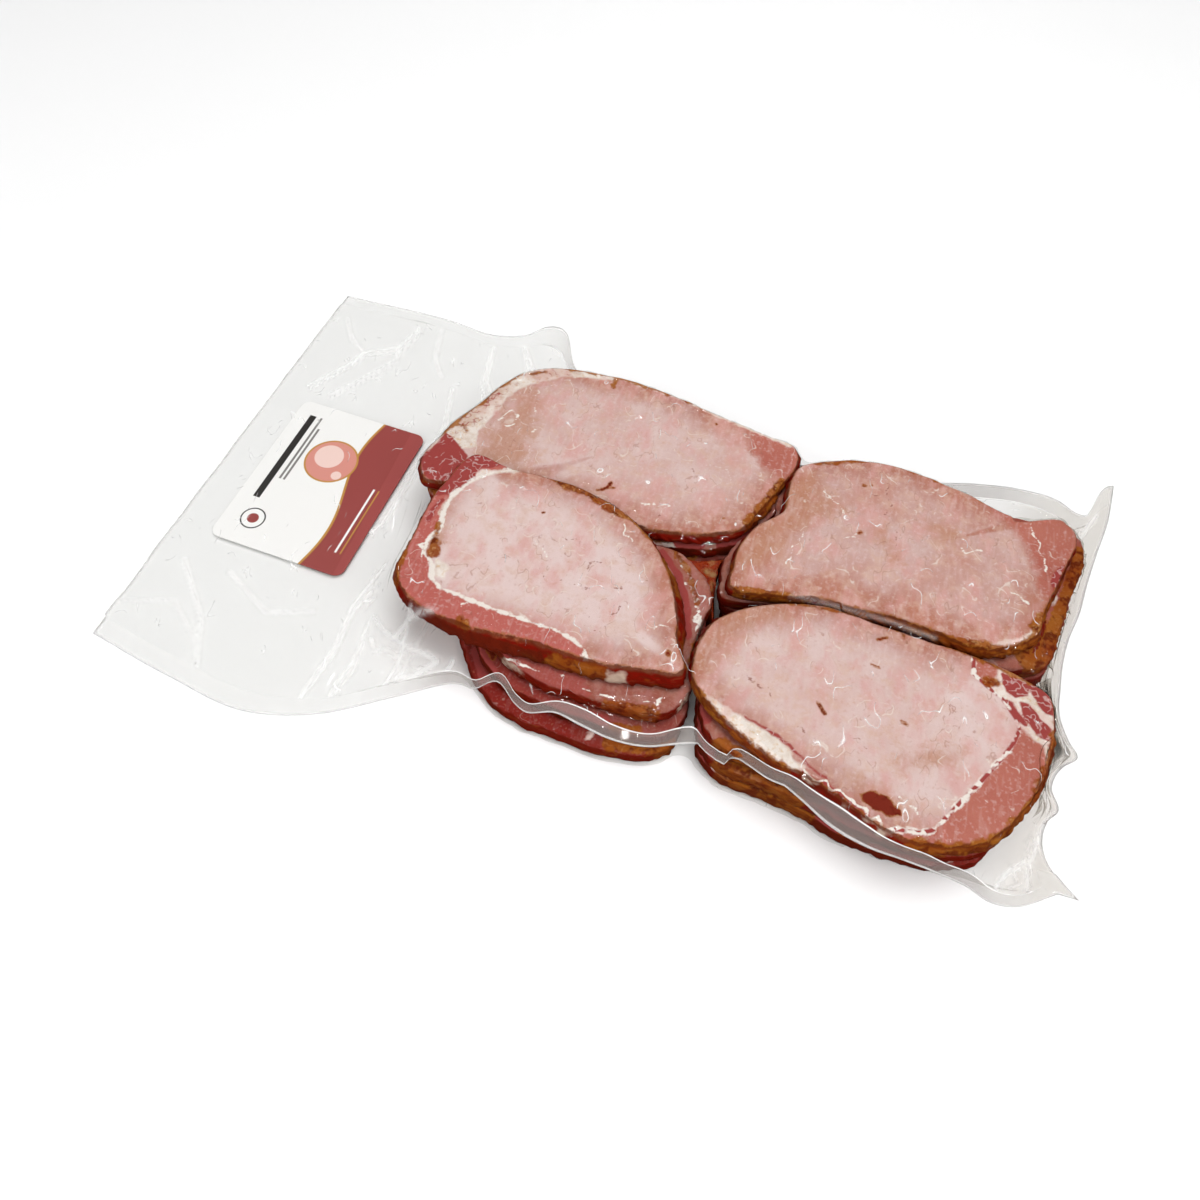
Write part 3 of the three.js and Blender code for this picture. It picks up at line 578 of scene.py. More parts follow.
def edge_reach(edge, x, y):
    """How far a slice's edge is from its middle, at even angles all round."""
    dx, dy = (np.array(edge) - (x, y)).T
    angle, far = np.arctan2(dy, dx), np.hypot(dx, dy)
    order = np.argsort(angle)
    turns = (-2 * math.pi, 0, 2 * math.pi)
    ring = [(a + turn, f) for turn in turns for a, f in zip(angle[order], far[order])]
    return through(ring, ROUND)[0]


def wobble(one, angle):
    """How far the outline strays from its even curve, as a share of the radius."""
    rng = np.random.default_rng(SEED + one["seed"])
    total = 0
    for turns in WOBBLE_TURNS:
        total = total + rng.uniform(0.4, 1) / turns ** 0.5 * np.sin(turns * angle + rng.uniform(0, 6.28))
    return 1 + total * one["rough"] / 50


def edge_at(one, angle):
    """Distance from a slice's middle to its edge, before it is made larger and turned."""
    place = (angle + math.pi) / (2 * math.pi) * (RAYS - 1)
    return np.interp(place % (RAYS - 1), np.arange(RAYS), one["reach"]) * wobble(one, angle)


def spread(one, share, angle):
    """Plan position that is this share of the way from the middle to the edge."""
    far = edge_at(one, angle) * share
    dx, dy = turned(far * np.cos(angle) * one["long"], far * np.sin(angle) * one["wide"], one["turn"])
    return one["x"] + dx, one["y"] + dy


def radius_at(one, x, y):
    """1 on the outline, less inside and more outside."""
    dx, dy = turned(x - one["x"], y - one["y"], -one["turn"])
    px, py = dx / one["long"], dy / one["wide"]
    return np.hypot(px, py) / edge_at(one, np.arctan2(py, px))


def depth_inside(one, x, y):
    """Millimetres inside the outline, less than 0 outside."""
    r = radius_at(one, x, y)
    step = 0.2
    slope = np.hypot(radius_at(one, x + step, y) - r, radius_at(one, x, y + step) - r) / step
    return (1 - r) / np.maximum(slope, 1e-3)


def sway(x, y, height):
    """How far a stack's layers rise and dip: not at all on the table, and most at the top."""
    return SWAY * swell(x, y, SWAY_SIZE, 3) * height / SWAY_FULL


def face_height(one, x, y, depth):
    """Height of the slice's upper face, rounded down at its edge."""
    radius = ROUNDING[one["level"] > 0]
    short = np.clip(1 - depth / radius, 0, 1)
    return one["top"] + sway(x, y, one["top"]) - radius * (1 - np.sqrt(1 - short * short + TINY))


def build_slice(one, slices, material):
    """One slice: a rounded slab whose wall bulges a little, with the fields that its material reads."""
    lower_one = one["level"] > 0
    name = "juices" if one["stack"] == "juices" else "slice_" + one["name"]
    piece = new_grid(name, *GRIDS[lower_one])
    u, v, _ = points_of(piece, 1).T
    reach = np.maximum(np.abs(u), np.abs(v))
    ring = GRID_RINGS[0] * reach + GRID_RINGS[1] * np.sin(reach * math.pi / 2)
    x, y = spread(one, ring, np.arctan2(v * GRID_FAN, u))
    rim = depth_inside(one, x, y)
    rim[reach > 0.9999] = 0
    place_points(piece, x, y, face_height(one, x, y, rim))
    bpy.ops.object.mode_set(mode="EDIT")
    bpy.ops.mesh.select_all(action="SELECT")
    for _ in range(WALL_ROWS):
        bpy.ops.mesh.extrude_region_move(TRANSFORM_OT_translate={"value": (0, 0, -MM)})
    bpy.ops.mesh.select_all(action="SELECT")
    bpy.ops.mesh.normals_make_consistent(inside=False)
    bpy.ops.object.mode_set(mode="OBJECT")

    # Each row of the wall was put 1 mm lower, which tells how far down the wall a point belongs.
    x, y, z = points_of(piece).T
    rim = np.maximum(depth_inside(one, x, y), 0)
    edge = rim < AT_EDGE
    upper = face_height(one, x, y, rim)
    share = np.clip(np.round(upper - z), 0, WALL_ROWS) / WALL_ROWS
    lower = one["bottom"] + sway(x, y, one["bottom"]) + one["top"] + sway(x, y, one["top"]) - upper
    lean = np.full(len(x), float(one["lean"]))
    for other in slices:
        if other["stack"] == one["stack"]:
            continue
        depth = depth_inside(other, x, y)
        if one["bottom"] < other["top"] < one["top"] - CARRY_STEP:
            carried = np.maximum(lower, other["top"] + sway(x, y, other["top"]) + SPACE)
            lower = np.where(depth > -CARRY_REACH, carried, lower)
        if other["stack"] != "juices" and one["bottom"] < other["top"] and other["bottom"] < one["top"]:
            lean = np.minimum(lean, np.maximum(-depth - LEAN_CLEAR, 0) / 2)
    dx, dy = x - one["x"], y - one["y"]
    away = np.hypot(dx, dy) + TINY
    towards = (dx * LEAN_WAY[0] + dy * LEAN_WAY[1]) / away
    lean *= LEAN_ELSEWHERE + (1 - LEAN_ELSEWHERE) * smooth(towards * LEAN_FOCUS)
    bulge = BULGE[lower_one] * np.sin(math.pi * share)
    bulge += WALL_BUMPS * swell(x * 2 + z * 3, y * 2 - z * 2, WALL_BUMP_SIZE, one["seed"])
    out = np.where(edge, bulge + lean * share, 0) * (one["rough"] > 0)
    x = x + dx / away * out
    y = y + dy / away * out
    place_points(piece, x, y, upper + (lower - upper) * share)
    mark_slice(piece, one, x, y, np.where(edge, 0, rim), share * edge)
    finish_piece(piece, material)


def random_marks(one):
    """Patches for a slice that mostly hides: short lines near its edge."""
    rng = np.random.default_rng(SEED * 7 + one["seed"])
    marks = {}
    for kind, count, width, nearest, furthest in RANDOM_MARKS:
        marks[kind] = []
        for _ in range(count):
            turn = rng.uniform(-3, 3)
            share = rng.uniform(nearest, furthest)
            ends = [spread(one, share, turn), spread(one, share, turn + rng.uniform(*MARK_SPAN))]
            marks[kind].append((width * rng.uniform(*MARK_WIDTHS), *ends))
    return marks


def shape_depth(x, y, shape):
    """Millimetres inside a mark, less than 0 outside."""
    width, *points = shape
    if width > 0:
        return width - to_line(x, y, points)[0]
    inside = np.zeros(x.shape, bool)
    loop = points + points[:1]
    for (ax, ay), (bx, by) in zip(loop, loop[1:]):
        crosses = (ay > y) != (by > y)
        inside ^= crosses & (x < (bx - ax) * (y - ay) / (by - ay + 1e-12) + ax)
    return to_line(x, y, loop)[0] * np.where(inside, 1, -1) - width


def mark_slice(piece, one, x, y, rim, wall):
    """Stores where a slice's rim, wall, cap and patches are."""
    marks = random_marks(one) | MARKS.get(one["name"], {})
    for kind, stray in FIELDS.items():
        wave_x, wave_y = (at + stray * swell(x, y, STRAY_SIZE, seed) for at, seed in ((x, 31), (y, 32)))
        best = np.full(len(x), NO_MARK)
        for shape in marks.get(kind, []):
            best = np.maximum(best, shape_depth(wave_x, wave_y, shape))
        store(piece, kind, best)
    is_seam = one["name"] in SEAMS
    cap = np.full(len(x), -NO_CAP)
    if one["stack"] in CAP_LINES:
        shift_x, shift_y = one["x"] - STACKS[one["stack"]]["x"], one["y"] - STACKS[one["stack"]]["y"]
        line = [(px + shift_x, py + shift_y) for px, py in CAP_LINES[one["stack"]]]
        cap = to_line(x, y, line)[1] * (1 if is_seam else SOFT_CAP)
    fields = {"cap": np.clip(cap, -NO_CAP, NO_CAP), "seam": np.abs(cap) if is_seam else NO_CAP, "rim": rim,
              "wall": wall, "pale": 0 if one["level"] else one["pale"], "red": one["red"],
              "deep": DEPTHS[one["level"]], "dash": SEAMS.get(one["name"], 0)}
    for name, values in fields.items():
        store(piece, name, np.zeros(len(x)) + values)


# ---- The form of the film ----

def lattice():
    """Plan positions where the film's height is worked out."""
    spans = (np.arange(-reach, reach + LATTICE, LATTICE) for reach in LATTICE_REACH)
    return np.meshgrid(*spans, indexing="ij")


def sample(field, x, y):
    """A lattice field between its points."""
    i, j = (np.clip((at + reach) / LATTICE, 0, count - 1.001)
            for at, reach, count in zip((x, y), LATTICE_REACH, field.shape))
    a, b = i.astype(int), j.astype(int)
    s, t = i - a, j - b
    return ((field[a, b] * (1 - t) + field[a, b + 1] * t) * (1 - s)
            + (field[a + 1, b] * (1 - t) + field[a + 1, b + 1] * t) * s)


def mean_around(height):
    """The mean of each inner lattice point's four neighbours."""
    return (height[2:, 1:-1] + height[:-2, 1:-1] + height[1:-1, 2:] + height[1:-1, :-2]) / 4


def between_seams(x, y, margin=0):
    """Whether a point is inside the welded lines, or so far outside the side ones."""
    front, back = through(FRONT_WELD, x)[0], through(BACK_WELD, x)[0]
    return (y > front - margin) & (y < back + margin) & (x < through(END_EDGE, y)[0] - END_WELD)


def section_x(station, y):
    """Where a section's point at y lies along X: the end sections follow the cut edges."""
    tail = through(TAIL_EDGE, y)[0] - TAIL_X
    end = through(END_EDGE, y)[0] - END_X
    bend = smooth((station - BEND_FROM) / (BEND_TO - BEND_FROM))
    return station + (1 - smooth((station - TAIL_X) / TAIL_BEND)) * tail + bend * end


def seam_height(x, y):
    """Height of the seam that a point outside the welded line belongs to."""
    front, back = through(FRONT_WELD, x), through(BACK_WELD, x)
    share = smooth((y - front[0]) / (back[0] - front[0]))
    side = front[1] + (back[1] - front[1]) * share
    end = through(END_EDGE, y)
    near_end = smooth((x - (end[0] - END_LIFT[0])) / END_LIFT[1])
    return side + (end[1] - side) * near_end


def flap_height(x, y):
    """The upper film where no slice carries it: nearly flat, soft folds, lifted over the label."""
    u, v = turned(x - LABEL_MIDDLE[0], y - LABEL_MIDDLE[1], -LABEL_TURN)
    over = np.maximum(np.abs(u) - LABEL_SIZE[0] / 2, np.abs(v) - LABEL_SIZE[1] / 2)
    height = FLAP_TOP
    for tall, size, seed in FLAP_SWELLS:
        height = height + tall * swell(x, y, size, seed)
    tall, size, seed = LABEL_SWELL
    on_label = 1 - smooth((over + 0.5) / LABEL_RAMP)
    height = height + (LABEL_COVER + tall * swell(x, y, size, seed) - height) * on_label
    folds = np.zeros_like(x)
    for fx, fy, reach_x, reach_y, tall in FOLDS:
        r = np.hypot((x - fx) / reach_x, (y - fy) / reach_y)
        folds = np.maximum(folds, tall * (1 - smooth(r / FOLD_SPREAD)))
    height = height + folds * (1 - on_label)
    band = 1 - smooth((np.abs(x - SEAL_X) - SEAL_BAND / 2) / SEAL_RAMP)
    return height + (SEAL_HEIGHT - height) * band * SEAL_PRESS


def crease_height(x, y):
    """Sharp folds in the loose film, and how near each point is to one, for the highlight painted along each
    fold.
    """
    total = np.zeros_like(x)
    near = np.zeros_like(x)
    for line, tall, width in CREASES:
        away = to_line(x, y, line)[0]
        total = np.maximum(total, tall * np.exp(-away / width))
        near = np.maximum(near, np.exp(-(away / CREASE_WHITE) ** 2) * min(tall, 1))
    return total, near


def drape(slices):
    """Relaxes the upper film over the slices: returns its height and its height above them."""
    x, y = lattice()
    carried = flap_height(x, y)
    held = np.zeros_like(x)
    for one in slices:
        depth = depth_inside(one, x, y)
        face = face_height(one, x, y, np.maximum(depth, 0)) + FILM_GAP
        steep = (one["top"] - one["bottom"]) / max(one["lean"], 0.1)
        wall = face - np.maximum(-depth - OVERHANG, 0) * steep
        face = np.where(depth > -OVERHANG - one["lean"], wall, 0)
        carried = np.maximum(carried, face)
        held = np.maximum(held, face)
    inside = between_seams(x, y)
    carried = np.where(inside, carried, seam_height(x, y))
    height = carried.copy()
    sag = LATTICE ** 2 / (4 * PULL)
    for _ in range(DRAPE_PASSES):
        around = np.maximum(carried[CORE], mean_around(height) - sag)
        height[CORE] = np.where(inside[CORE], around, height[CORE])
    return height, height - held


def sink(slices):
    """Relaxes the underside: flat on the table, and drawn up to the seam beyond the slices."""
    x, y = lattice()
    limit = np.full_like(x, FAR_OFF)
    for one in slices:
        under = FOOT + (0 if one["level"] == 3 else one["bottom"] - UNDER_GAP)
        limit = np.where(depth_inside(one, x, y) > -OVERHANG, np.minimum(limit, under), limit)
    limit = np.where(x < FLAT_TO, FOOT, limit)
    inside = between_seams(x, y, UNDER_MARGIN)
    raised = x > RAISED_FROM
    height = np.where(~inside & raised, seam_height(x, y) - PINCH, FOOT)
    free = (inside & raised)[CORE]
    for _ in range(DRAPE_PASSES):
        around = np.minimum(mean_around(height) - UNDER_SAG, limit[CORE])
        height[CORE] = np.where(free, np.maximum(around, FOOT), height[CORE])
    return height


def slice_reach(one, stations, sign, near_by):
    """How far a slice's outline stands out at each station, front or back, and which stations it is at."""
    px, py = spread(one, 1, np.linspace(-math.pi, math.pi, OUTLINE_POINTS, endpoint=False))
    for i, station in enumerate(stations):
        near = np.abs(px - station) < near_by
        if near.any():
            yield i, (sign * py[near]).max()


def side_walls(slices, stations, sign):
    """How far the slices and the film round them stand out at each station and level, front or back."""
    reach = np.full((len(stations), len(WALL_LEVELS)), -FAR_OFF)
    for one in slices:
        levels = (WALL_LEVELS > one["bottom"] - 0.4) & (WALL_LEVELS < one["top"] - 0.2)
        down = (one["top"] - WALL_LEVELS[levels]) / (one["top"] - one["bottom"])
        for i, far in slice_reach(one, stations, sign, NEAR_STATION[0]):
            far = far + FILM_GAP + WALL_GAP + one["lean"] * down
            reach[i, levels] = np.maximum(reach[i, levels], far)
    return reach


def weld_lines(stations, slices, table, sign):
    """Root and tip of a side seam at each station, kept outside every slice at its height."""
    rows = []
    for station in stations:
        y = SEAM_GUESS * sign
        for _ in range(4):
            row = through(table, section_x(station, np.array(y)))
            y = float(row[0])
        rows.append(row)
    rows = np.array(rows)
    for one in slices:
        for i, far in slice_reach(one, stations, sign, NEAR_STATION[1]):
            if one["bottom"] - 1 < rows[i, 1] < one["top"] - 0.3:
                rows[i, 0] = sign * max(sign * rows[i, 0], far + SEAM_CLEAR)
    kernel = np.array([1, 2, 3, 2, 1]) / 9
    even = np.convolve(np.pad(rows[:, 0], 2, mode="edge"), kernel, mode="valid")
    rows[:, 0] = sign * np.maximum(sign * even, sign * rows[:, 0])
    short = sign * (rows[:, 2] - rows[:, 0]) < LEAST_WELD
    rows[short, 2] = rows[short, 0] + sign * LEAST_WELD
    return rows


def relax_wall(reach, roots, sign):
    """Film round the lower slices, between the table and the seam's root."""
    inner = sign * roots[:, 0] - np.clip(roots[:, 1] * FOOT_IN[0], 0, FOOT_IN[1])
    fixed = WALL_LEVELS[None, :] >= roots[:, 1:2] - 0.5
    least = np.where(fixed, sign * roots[:, 0:1], np.maximum(reach, inner[:, None]))
    wall = least
    for _ in range(WALL_PASSES):
        beside = (np.roll(wall, 1, 0) + np.roll(wall, -1, 0)) * 0.2
        below = np.concatenate([wall[:, :1] - 1.2, wall[:, :-1]], axis=1)
        above = np.concatenate([wall[:, 1:], wall[:, -1:]], axis=1)
        wall = np.where(fixed, least, np.maximum(least, beside + (below + above) * 0.3 - WALL_SAG))
    return wall


def film_stations():
    """Where the skin's sections lie along X."""
    stations = [TAIL_X]
    while stations[-1] < END_X - 0.7:
        stations.append(stations[-1] + next(step for limit, step in STATION_STEPS if stations[-1] < limit))
    stations[-1] = END_X
    return np.array(stations)


def film_sections(slices, stations):
    """Every section of the skin, its upper and its lower chain from the front tip to the back tip, and for
    each point how loose the film is, how near a crease is, and whether it is between the seams."""
    top, gap = drape(slices)
    under = sink(slices)
    seams = {-1: weld_lines(stations, slices, FRONT_WELD, -1), 1: weld_lines(stations, slices, BACK_WELD, 1)}
    walls = {sign: relax_wall(side_walls(slices, stations, sign), seams[sign], sign) for sign in seams}
    share = np.linspace(0, 1, WELD_POINTS + 1)[:-1]
    upper, lower, fields = [], [], []
    for i, station in enumerate(stations):
        (front_y, front_z, *front_tip), (back_y, back_z, *back_tip) = seams[-1][i], seams[1][i]
        y = np.linspace(front_y, back_y, TOP_SAMPLES)
        x = section_x(station, y)
        loose = sample(gap, x, y)
        rise, near = crease_height(x, y)
        fade = smooth(np.minimum(y - front_y, back_y - y) / CREASE_FADE)
        z = sample(top, x, y) + rise * fade * smooth(loose / CREASE_LOOSE)
        z[0], z[-1] = front_z + PINCH / 2, back_z + PINCH / 2
        crest = along(np.stack([x, y, z, loose, near], axis=1), ACROSS)

        sides = {}
        for sign, root_y, root_z in ((-1, front_y, front_z), (1, back_y, back_z)):
            foot_z = sample(under, section_x(station, np.array(root_y)), np.array(root_y))
            wall_z = np.linspace(root_z - PINCH / 2, min(foot_z, root_z - PINCH / 2), WALL_SAMPLES)
            wall_y = sign * np.interp(wall_z, WALL_LEVELS, walls[sign][i])
            wall_y[0] = root_y
            sides[sign] = np.stack([wall_y, wall_z], axis=1)
        y = np.linspace(sides[-1][-1, 0], sides[1][-1, 0], UNDER_SAMPLES)
        floor = np.stack([y, sample(under, section_x(station, y), y)], axis=1)
        base_y, base_z = along(np.concatenate([sides[-1], floor, sides[1][::-1]]), ACROSS).T
        base = np.stack([section_x(station, base_y), base_y, base_z], axis=1)
        closing = smooth((station - (END_X - END_WELD)) / END_CLOSING)
        closing += 1 - smooth((station - TAIL_X) / TAIL_CLOSING)
        base += (crest[:, :3] - (0, 0, PINCH) - base) * min(closing, 1)

        for chains, part, height in ((upper, crest[:, :3], PINCH / 2), (lower, base, -PINCH / 2)):
            ends = []
            for (tip_y, tip_z), root in ((front_tip, part[0]), (back_tip, part[-1])):
                end_y = tip_y + (root[1] - tip_y) * share
                end_z = tip_z + (root[2] - height - tip_z) * share + height * smooth(share * 6)
                ends.append(np.stack([section_x(station, end_y), end_y, end_z], axis=1))
            chains.append(np.concatenate([ends[0], part, ends[1][::-1]]))
        between = np.stack([crest[:, 3], crest[:, 4], np.ones(ACROSS)], axis=1)
        welded = np.tile((LOOSE_WELD, 0, 0), (WELD_POINTS, 1))
        fields.append(np.concatenate([welded, between, welded]))
    return np.array(upper), np.array(lower), np.array(fields)


def build_film(slices, material):
    """The pouch: one closed skin, with its two films welded along both sides and both ends."""
    stations = film_stations()
    upper, lower, fields = film_sections(slices, stations)
    for rim in (np.s_[0], np.s_[-1], np.s_[:, [0, -1]]):
        upper[rim] = lower[rim] = (upper[rim] + lower[rim]) / 2
    count, width = upper.shape[:2]
    piece = new_grid("film_pouch", count, 2 * width)
    grid_x, grid_y, _ = points_of(piece, 1).T
    order = np.lexsort((grid_x, grid_y))

    def in_order(over, beneath):
        """A number for each of the mesh's points, out of one for each of the two films'."""
        numbers = np.empty(2 * over.size)
        numbers[order] = np.concatenate([over, beneath[:, ::-1]], axis=1).T.ravel()
        return numbers

    place_points(piece, *(in_order(upper[:, :, k], lower[:, :, k]) for k in range(3)))
    for k, name in enumerate(("loose", "crease", "held")):
        store(piece, name, in_order(fields[:, :, k], fields[:, :, k]))
    to_side = np.minimum(np.arange(width), np.arange(width)[::-1]) * WELD_STEP
    to_end = np.minimum(stations - stations[0], stations[-1] - stations)
    edge = np.minimum(to_side[None, :], to_end[:, None])
    store(piece, "edge", in_order(edge, edge))
    bpy.ops.object.mode_set(mode="EDIT")
    bpy.ops.mesh.select_all(action="SELECT")
    bpy.ops.mesh.remove_doubles(threshold=SAME_POINT)
    bpy.ops.mesh.normals_make_consistent(inside=False)
    bpy.ops.object.mode_set(mode="OBJECT")
    # The film casts no shadow; its tints are darker instead, a painted shadow on what lies under it.
    piece.visible_shadow = piece.visible_diffuse = False
    finish_piece(piece, material)


# ---- Materials ----

def add(tree, kind, inputs=(), output=0, **settings):
    """Adds a node, sets its properties, sets each socket or links it to another node's output, and gives
    back one of its outputs. The inputs go by place, or by name in a dict."""
    made = tree.nodes.new("ShaderNode" + kind)
    for key, value in settings.items():
        setattr(made, key, value)
    for socket, value in inputs.items() if isinstance(inputs, dict) else enumerate(inputs):
        target = made.inputs[socket]
        if isinstance(value, bpy.types.NodeSocket):
            tree.links.new(value, target)
        else:
            target.default_value = (*value, 1) if target.type == "RGBA" else value
    return made.outputs[output] if made.outputs else None


def new_material(name):
    """An empty node material, its tree and the object's own coordinates in millimetres."""
    material = bpy.data.materials.new(name)
    material.use_nodes = True
    tree = material.node_tree
    tree.nodes.clear()
    place = add(tree, "TexCoord", output="Object")
    mm = add(tree, "VectorMath", {0: place, "Scale": 1 / MM}, operation="SCALE")
    return material, tree, mm


def field_of(tree, name):
    """A number stored on the mesh."""
    return add(tree, "Attribute", output="Fac", attribute_name=name)


def cloud(tree, mm, size, detail=3, rough=0.5, stretch=(1, 1, 1), turn=0):
    """Noise whose features are about size millimetres, which can be drawn out along one way."""
    seen = add(tree, "Mapping", {"Vector": mm, "Rotation": (0, 0, math.radians(turn)), "Scale": stretch})
    return add(tree, "TexNoise", {"Vector": seen, "Scale": 1 / size, "Detail": detail, "Roughness": rough})


def joined(tree, operation, *values, **settings):
    """Values taken together one after the other by a sum, a product or the like."""
    result = values[0]
    for value in values[1:]:
        result = add(tree, "Math", (result, value), operation=operation, **settings)
    return result


def times(tree, *factors):
    """The product of several masks."""
    return joined(tree, "MULTIPLY", *factors)


def off_middle(tree, value, middle=0.5):
    """How far a value is from a middle one, to either side."""
    return add(tree, "Math", (joined(tree, "SUBTRACT", value, middle),), operation="ABSOLUTE")


def ragged_edge(tree, value, noise, amount, low, high):
    """1 where a field passes from low to high, along a border that noise makes uneven."""
    shifted = add(tree, "Math", (noise, amount, value), operation="MULTIPLY_ADD")
    low, high = low + amount / 2, high + amount / 2
    return add(tree, "MapRange", (shifted, low, high), interpolation_type="SMOOTHSTEP")


def hairlines(tree, noise, width, gate, share):
    """Thin lines where noise crosses its middle, broken up by a second noise."""
    line = add(tree, "MapRange", (off_middle(tree, noise), 0, width, 1, 0))
    open_here = add(tree, "MapRange", (gate, share, share + 0.06))
    return times(tree, line, open_here)


def paint_over(tree, colour, layers):
    """Lays paints over a colour one after the other, each as strongly as its masks multiplied."""
    for paint, *masks in layers:
        share = times(tree, *masks)
        colour = add(tree, "Mix", {0: share, 6: colour, 7: paint}, output=2, data_type="RGBA")
    return colour


def cut_loin(look):
    """Cured and smoked pork loin, cut wet: a pale close-grained eye, redder marbled cap, white fat,
    and a golden to dark red smoked rind on the wall. Juice keeps it glossy."""
    material, tree, mm = new_material("cured smoked pork loin, sliced")
    rim, wall, cap, seam, deep = (field_of(tree, name) for name in ("rim", "wall", "cap", "seam", "deep"))
    coarse = cloud(tree, mm, 20, 2, 0.55)
    middling = cloud(tree, mm, 5.5, 3, 0.66)
    fine = cloud(tree, mm, 1.5, 1, 0.66)
    fibre = cloud(tree, mm, 2.6, 1, 0.6, (1, 0.42, 1), 25)
    threads = cloud(tree, mm, 1.3, 0, 0.5, (1, 0.2, 1), -50)
    beads = cloud(tree, mm, 3.2, 1, 0.45)
    drawn = cloud(tree, mm, 8, 2, 0.62, (1, 0.6, 1), 35)
    burnt = cloud(tree, mm, 4.5, 2, 0.7)
    patchy = cloud(tree, mm, 12, 2, 0.7, (1, 1, 1.6))
    streaks = cloud(tree, mm, 2.2, 1, 0.65, (0.35, 0.35, 1.6))

    # How deep in the stack the slice is: the top one is plain to see, and the lower ones are darker and
    # redder, the lowest darkest.
    top_one = add(tree, "MapRange", (deep, 0, 0.5, 1, 0))
    plain = add(tree, "MapRange", (deep, 0, 0.6, 1, 0.25))
    lowest_darkening = add(tree, "MapRange", (deep, 0.6, 1, 0, 0.6))
    wall_darkening_by_depth = add(tree, "MapRange", (deep, 0, 1, 0.1, 0.45))

    # The cut face: its tones, grain, fine cracks and painted glints.
    tone = add(tree, "MapRange", (coarse, 0.32, 0.68))
    in_cap = ragged_edge(tree, cap, middling, 4, -1.2, 1.2)
    eye = joined(tree, "SUBTRACT", 1, in_cap)
    pale = times(tree, ragged_edge(tree, field_of(tree, "pale"), coarse, 0.9, -0.1, 1.0),
                 ragged_edge(tree, rim, coarse, 14, 0, 17))
    pinker = add(tree, "MapRange", (drawn, 0.48, 0.66, 0, 0.6))
    beige = add(tree, "MapRange", (middling, 0.46, 0.66, 0, 0.6))
    grain = times(tree, add(tree, "MapRange", (fibre, 0.5, 0.72, 0, 0.45)), plain)
    veins = times(tree, add(tree, "MapRange", (threads, 0.58, 0.74, 0, 0.12)), plain)
    freckle = times(tree, add(tree, "MapRange", (fine, 0.55, 0.72, 0, 0.5)), plain)
    pores = add(tree, "MapRange", (fine, 0.36, 0.27, 0, 0.5))
    net = hairlines(tree, beads, 0.05, middling, 0.46)
    cracks = times(tree, hairlines(tree, drawn, 0.012, coarse, 0.47),
                   add(tree, "MapRange", (middling, 0.47, 0.53)))
    # Painted glints: white hairlines on the faces, most on the top slices, where the wet film would catch
    # the light.
    painted_glint_lines = times(tree, hairlines(tree, coarse, 0.006, middling, 0.5), plain)

    # White fat and dark dashes along the seam between eye and cap.
    seam_width = add(tree, "MapRange", (middling, 0.36, 0.64, 0.1, 1.4))
    seam_fat = add(tree, "MapRange", (joined(tree, "SUBTRACT", seam_width, seam), -0.2, 0.4, 0, 0.95))
    dashes = times(tree, add(tree, "MapRange", (beads, 0.46, 0.52)),
                   add(tree, "MapRange", (seam, 0.45, 0.95, 1, 0)), field_of(tree, "dash"))

    # The marks of MARKS, with uneven borders.
    lean = ragged_edge(tree, field_of(tree, "lean"), middling, 1.6, -0.5, 0.3)
    fat = ragged_edge(tree, field_of(tree, "fat"), middling, 3.0, -0.8, 0.8)
    # Thread: white fat, and on the faces painted glints of the film.
    thread = ragged_edge(tree, field_of(tree, "thread"), fine, 1.0, -0.25, 0.15)
    wall_fat = ragged_edge(tree, field_of(tree, "thread"), burnt, 4.0, -1.4, 0.4)
    brown = ragged_edge(tree, field_of(tree, "brown"), middling, 12, -4, 5)
    gold = ragged_edge(tree, field_of(tree, "gold"), burnt, 5.0, -0.8, 0.4)
    spot_ring = ragged_edge(tree, field_of(tree, "spot"), fine, 1.4, -0.6, 0.1)
    spot = ragged_edge(tree, field_of(tree, "spot"), fine, 1.6, -0.2, 0.5)
    traced = ragged_edge(tree, field_of(tree, "crack"), fine, 1.6, 0.05, 0.4)
    scorched = add(tree, "MapRange", (burnt, 0.52, 0.4, 0, 0.85))

    # The rind, which shows as a line round the face and covers the wall.
    rim_dark = times(tree, ragged_edge(tree, rim, middling, -2.4, 0.5, 0.1), top_one)
    rim_gold = times(tree, ragged_edge(tree, rim, fine, -2.4, 0.9, 0.2), top_one)
    on_wall = add(tree, "MapRange", (wall, 0.02, 0.18))
    rind_gold = joined(tree, "MAXIMUM", add(tree, "MapRange", (patchy, 0.58, 0.7, 0, 0.8)), gold)
    rind_deep = joined(tree, "MAXIMUM", add(tree, "MapRange", (streaks, 0.5, 0.68, 0, 0.65)),
                       add(tree, "MapRange", (wall, 0.4, 1.0, 0, 0.5)))
    rind_fat = add(tree, "MapRange", (streaks, 0.42, 0.3, 0, 0.06))

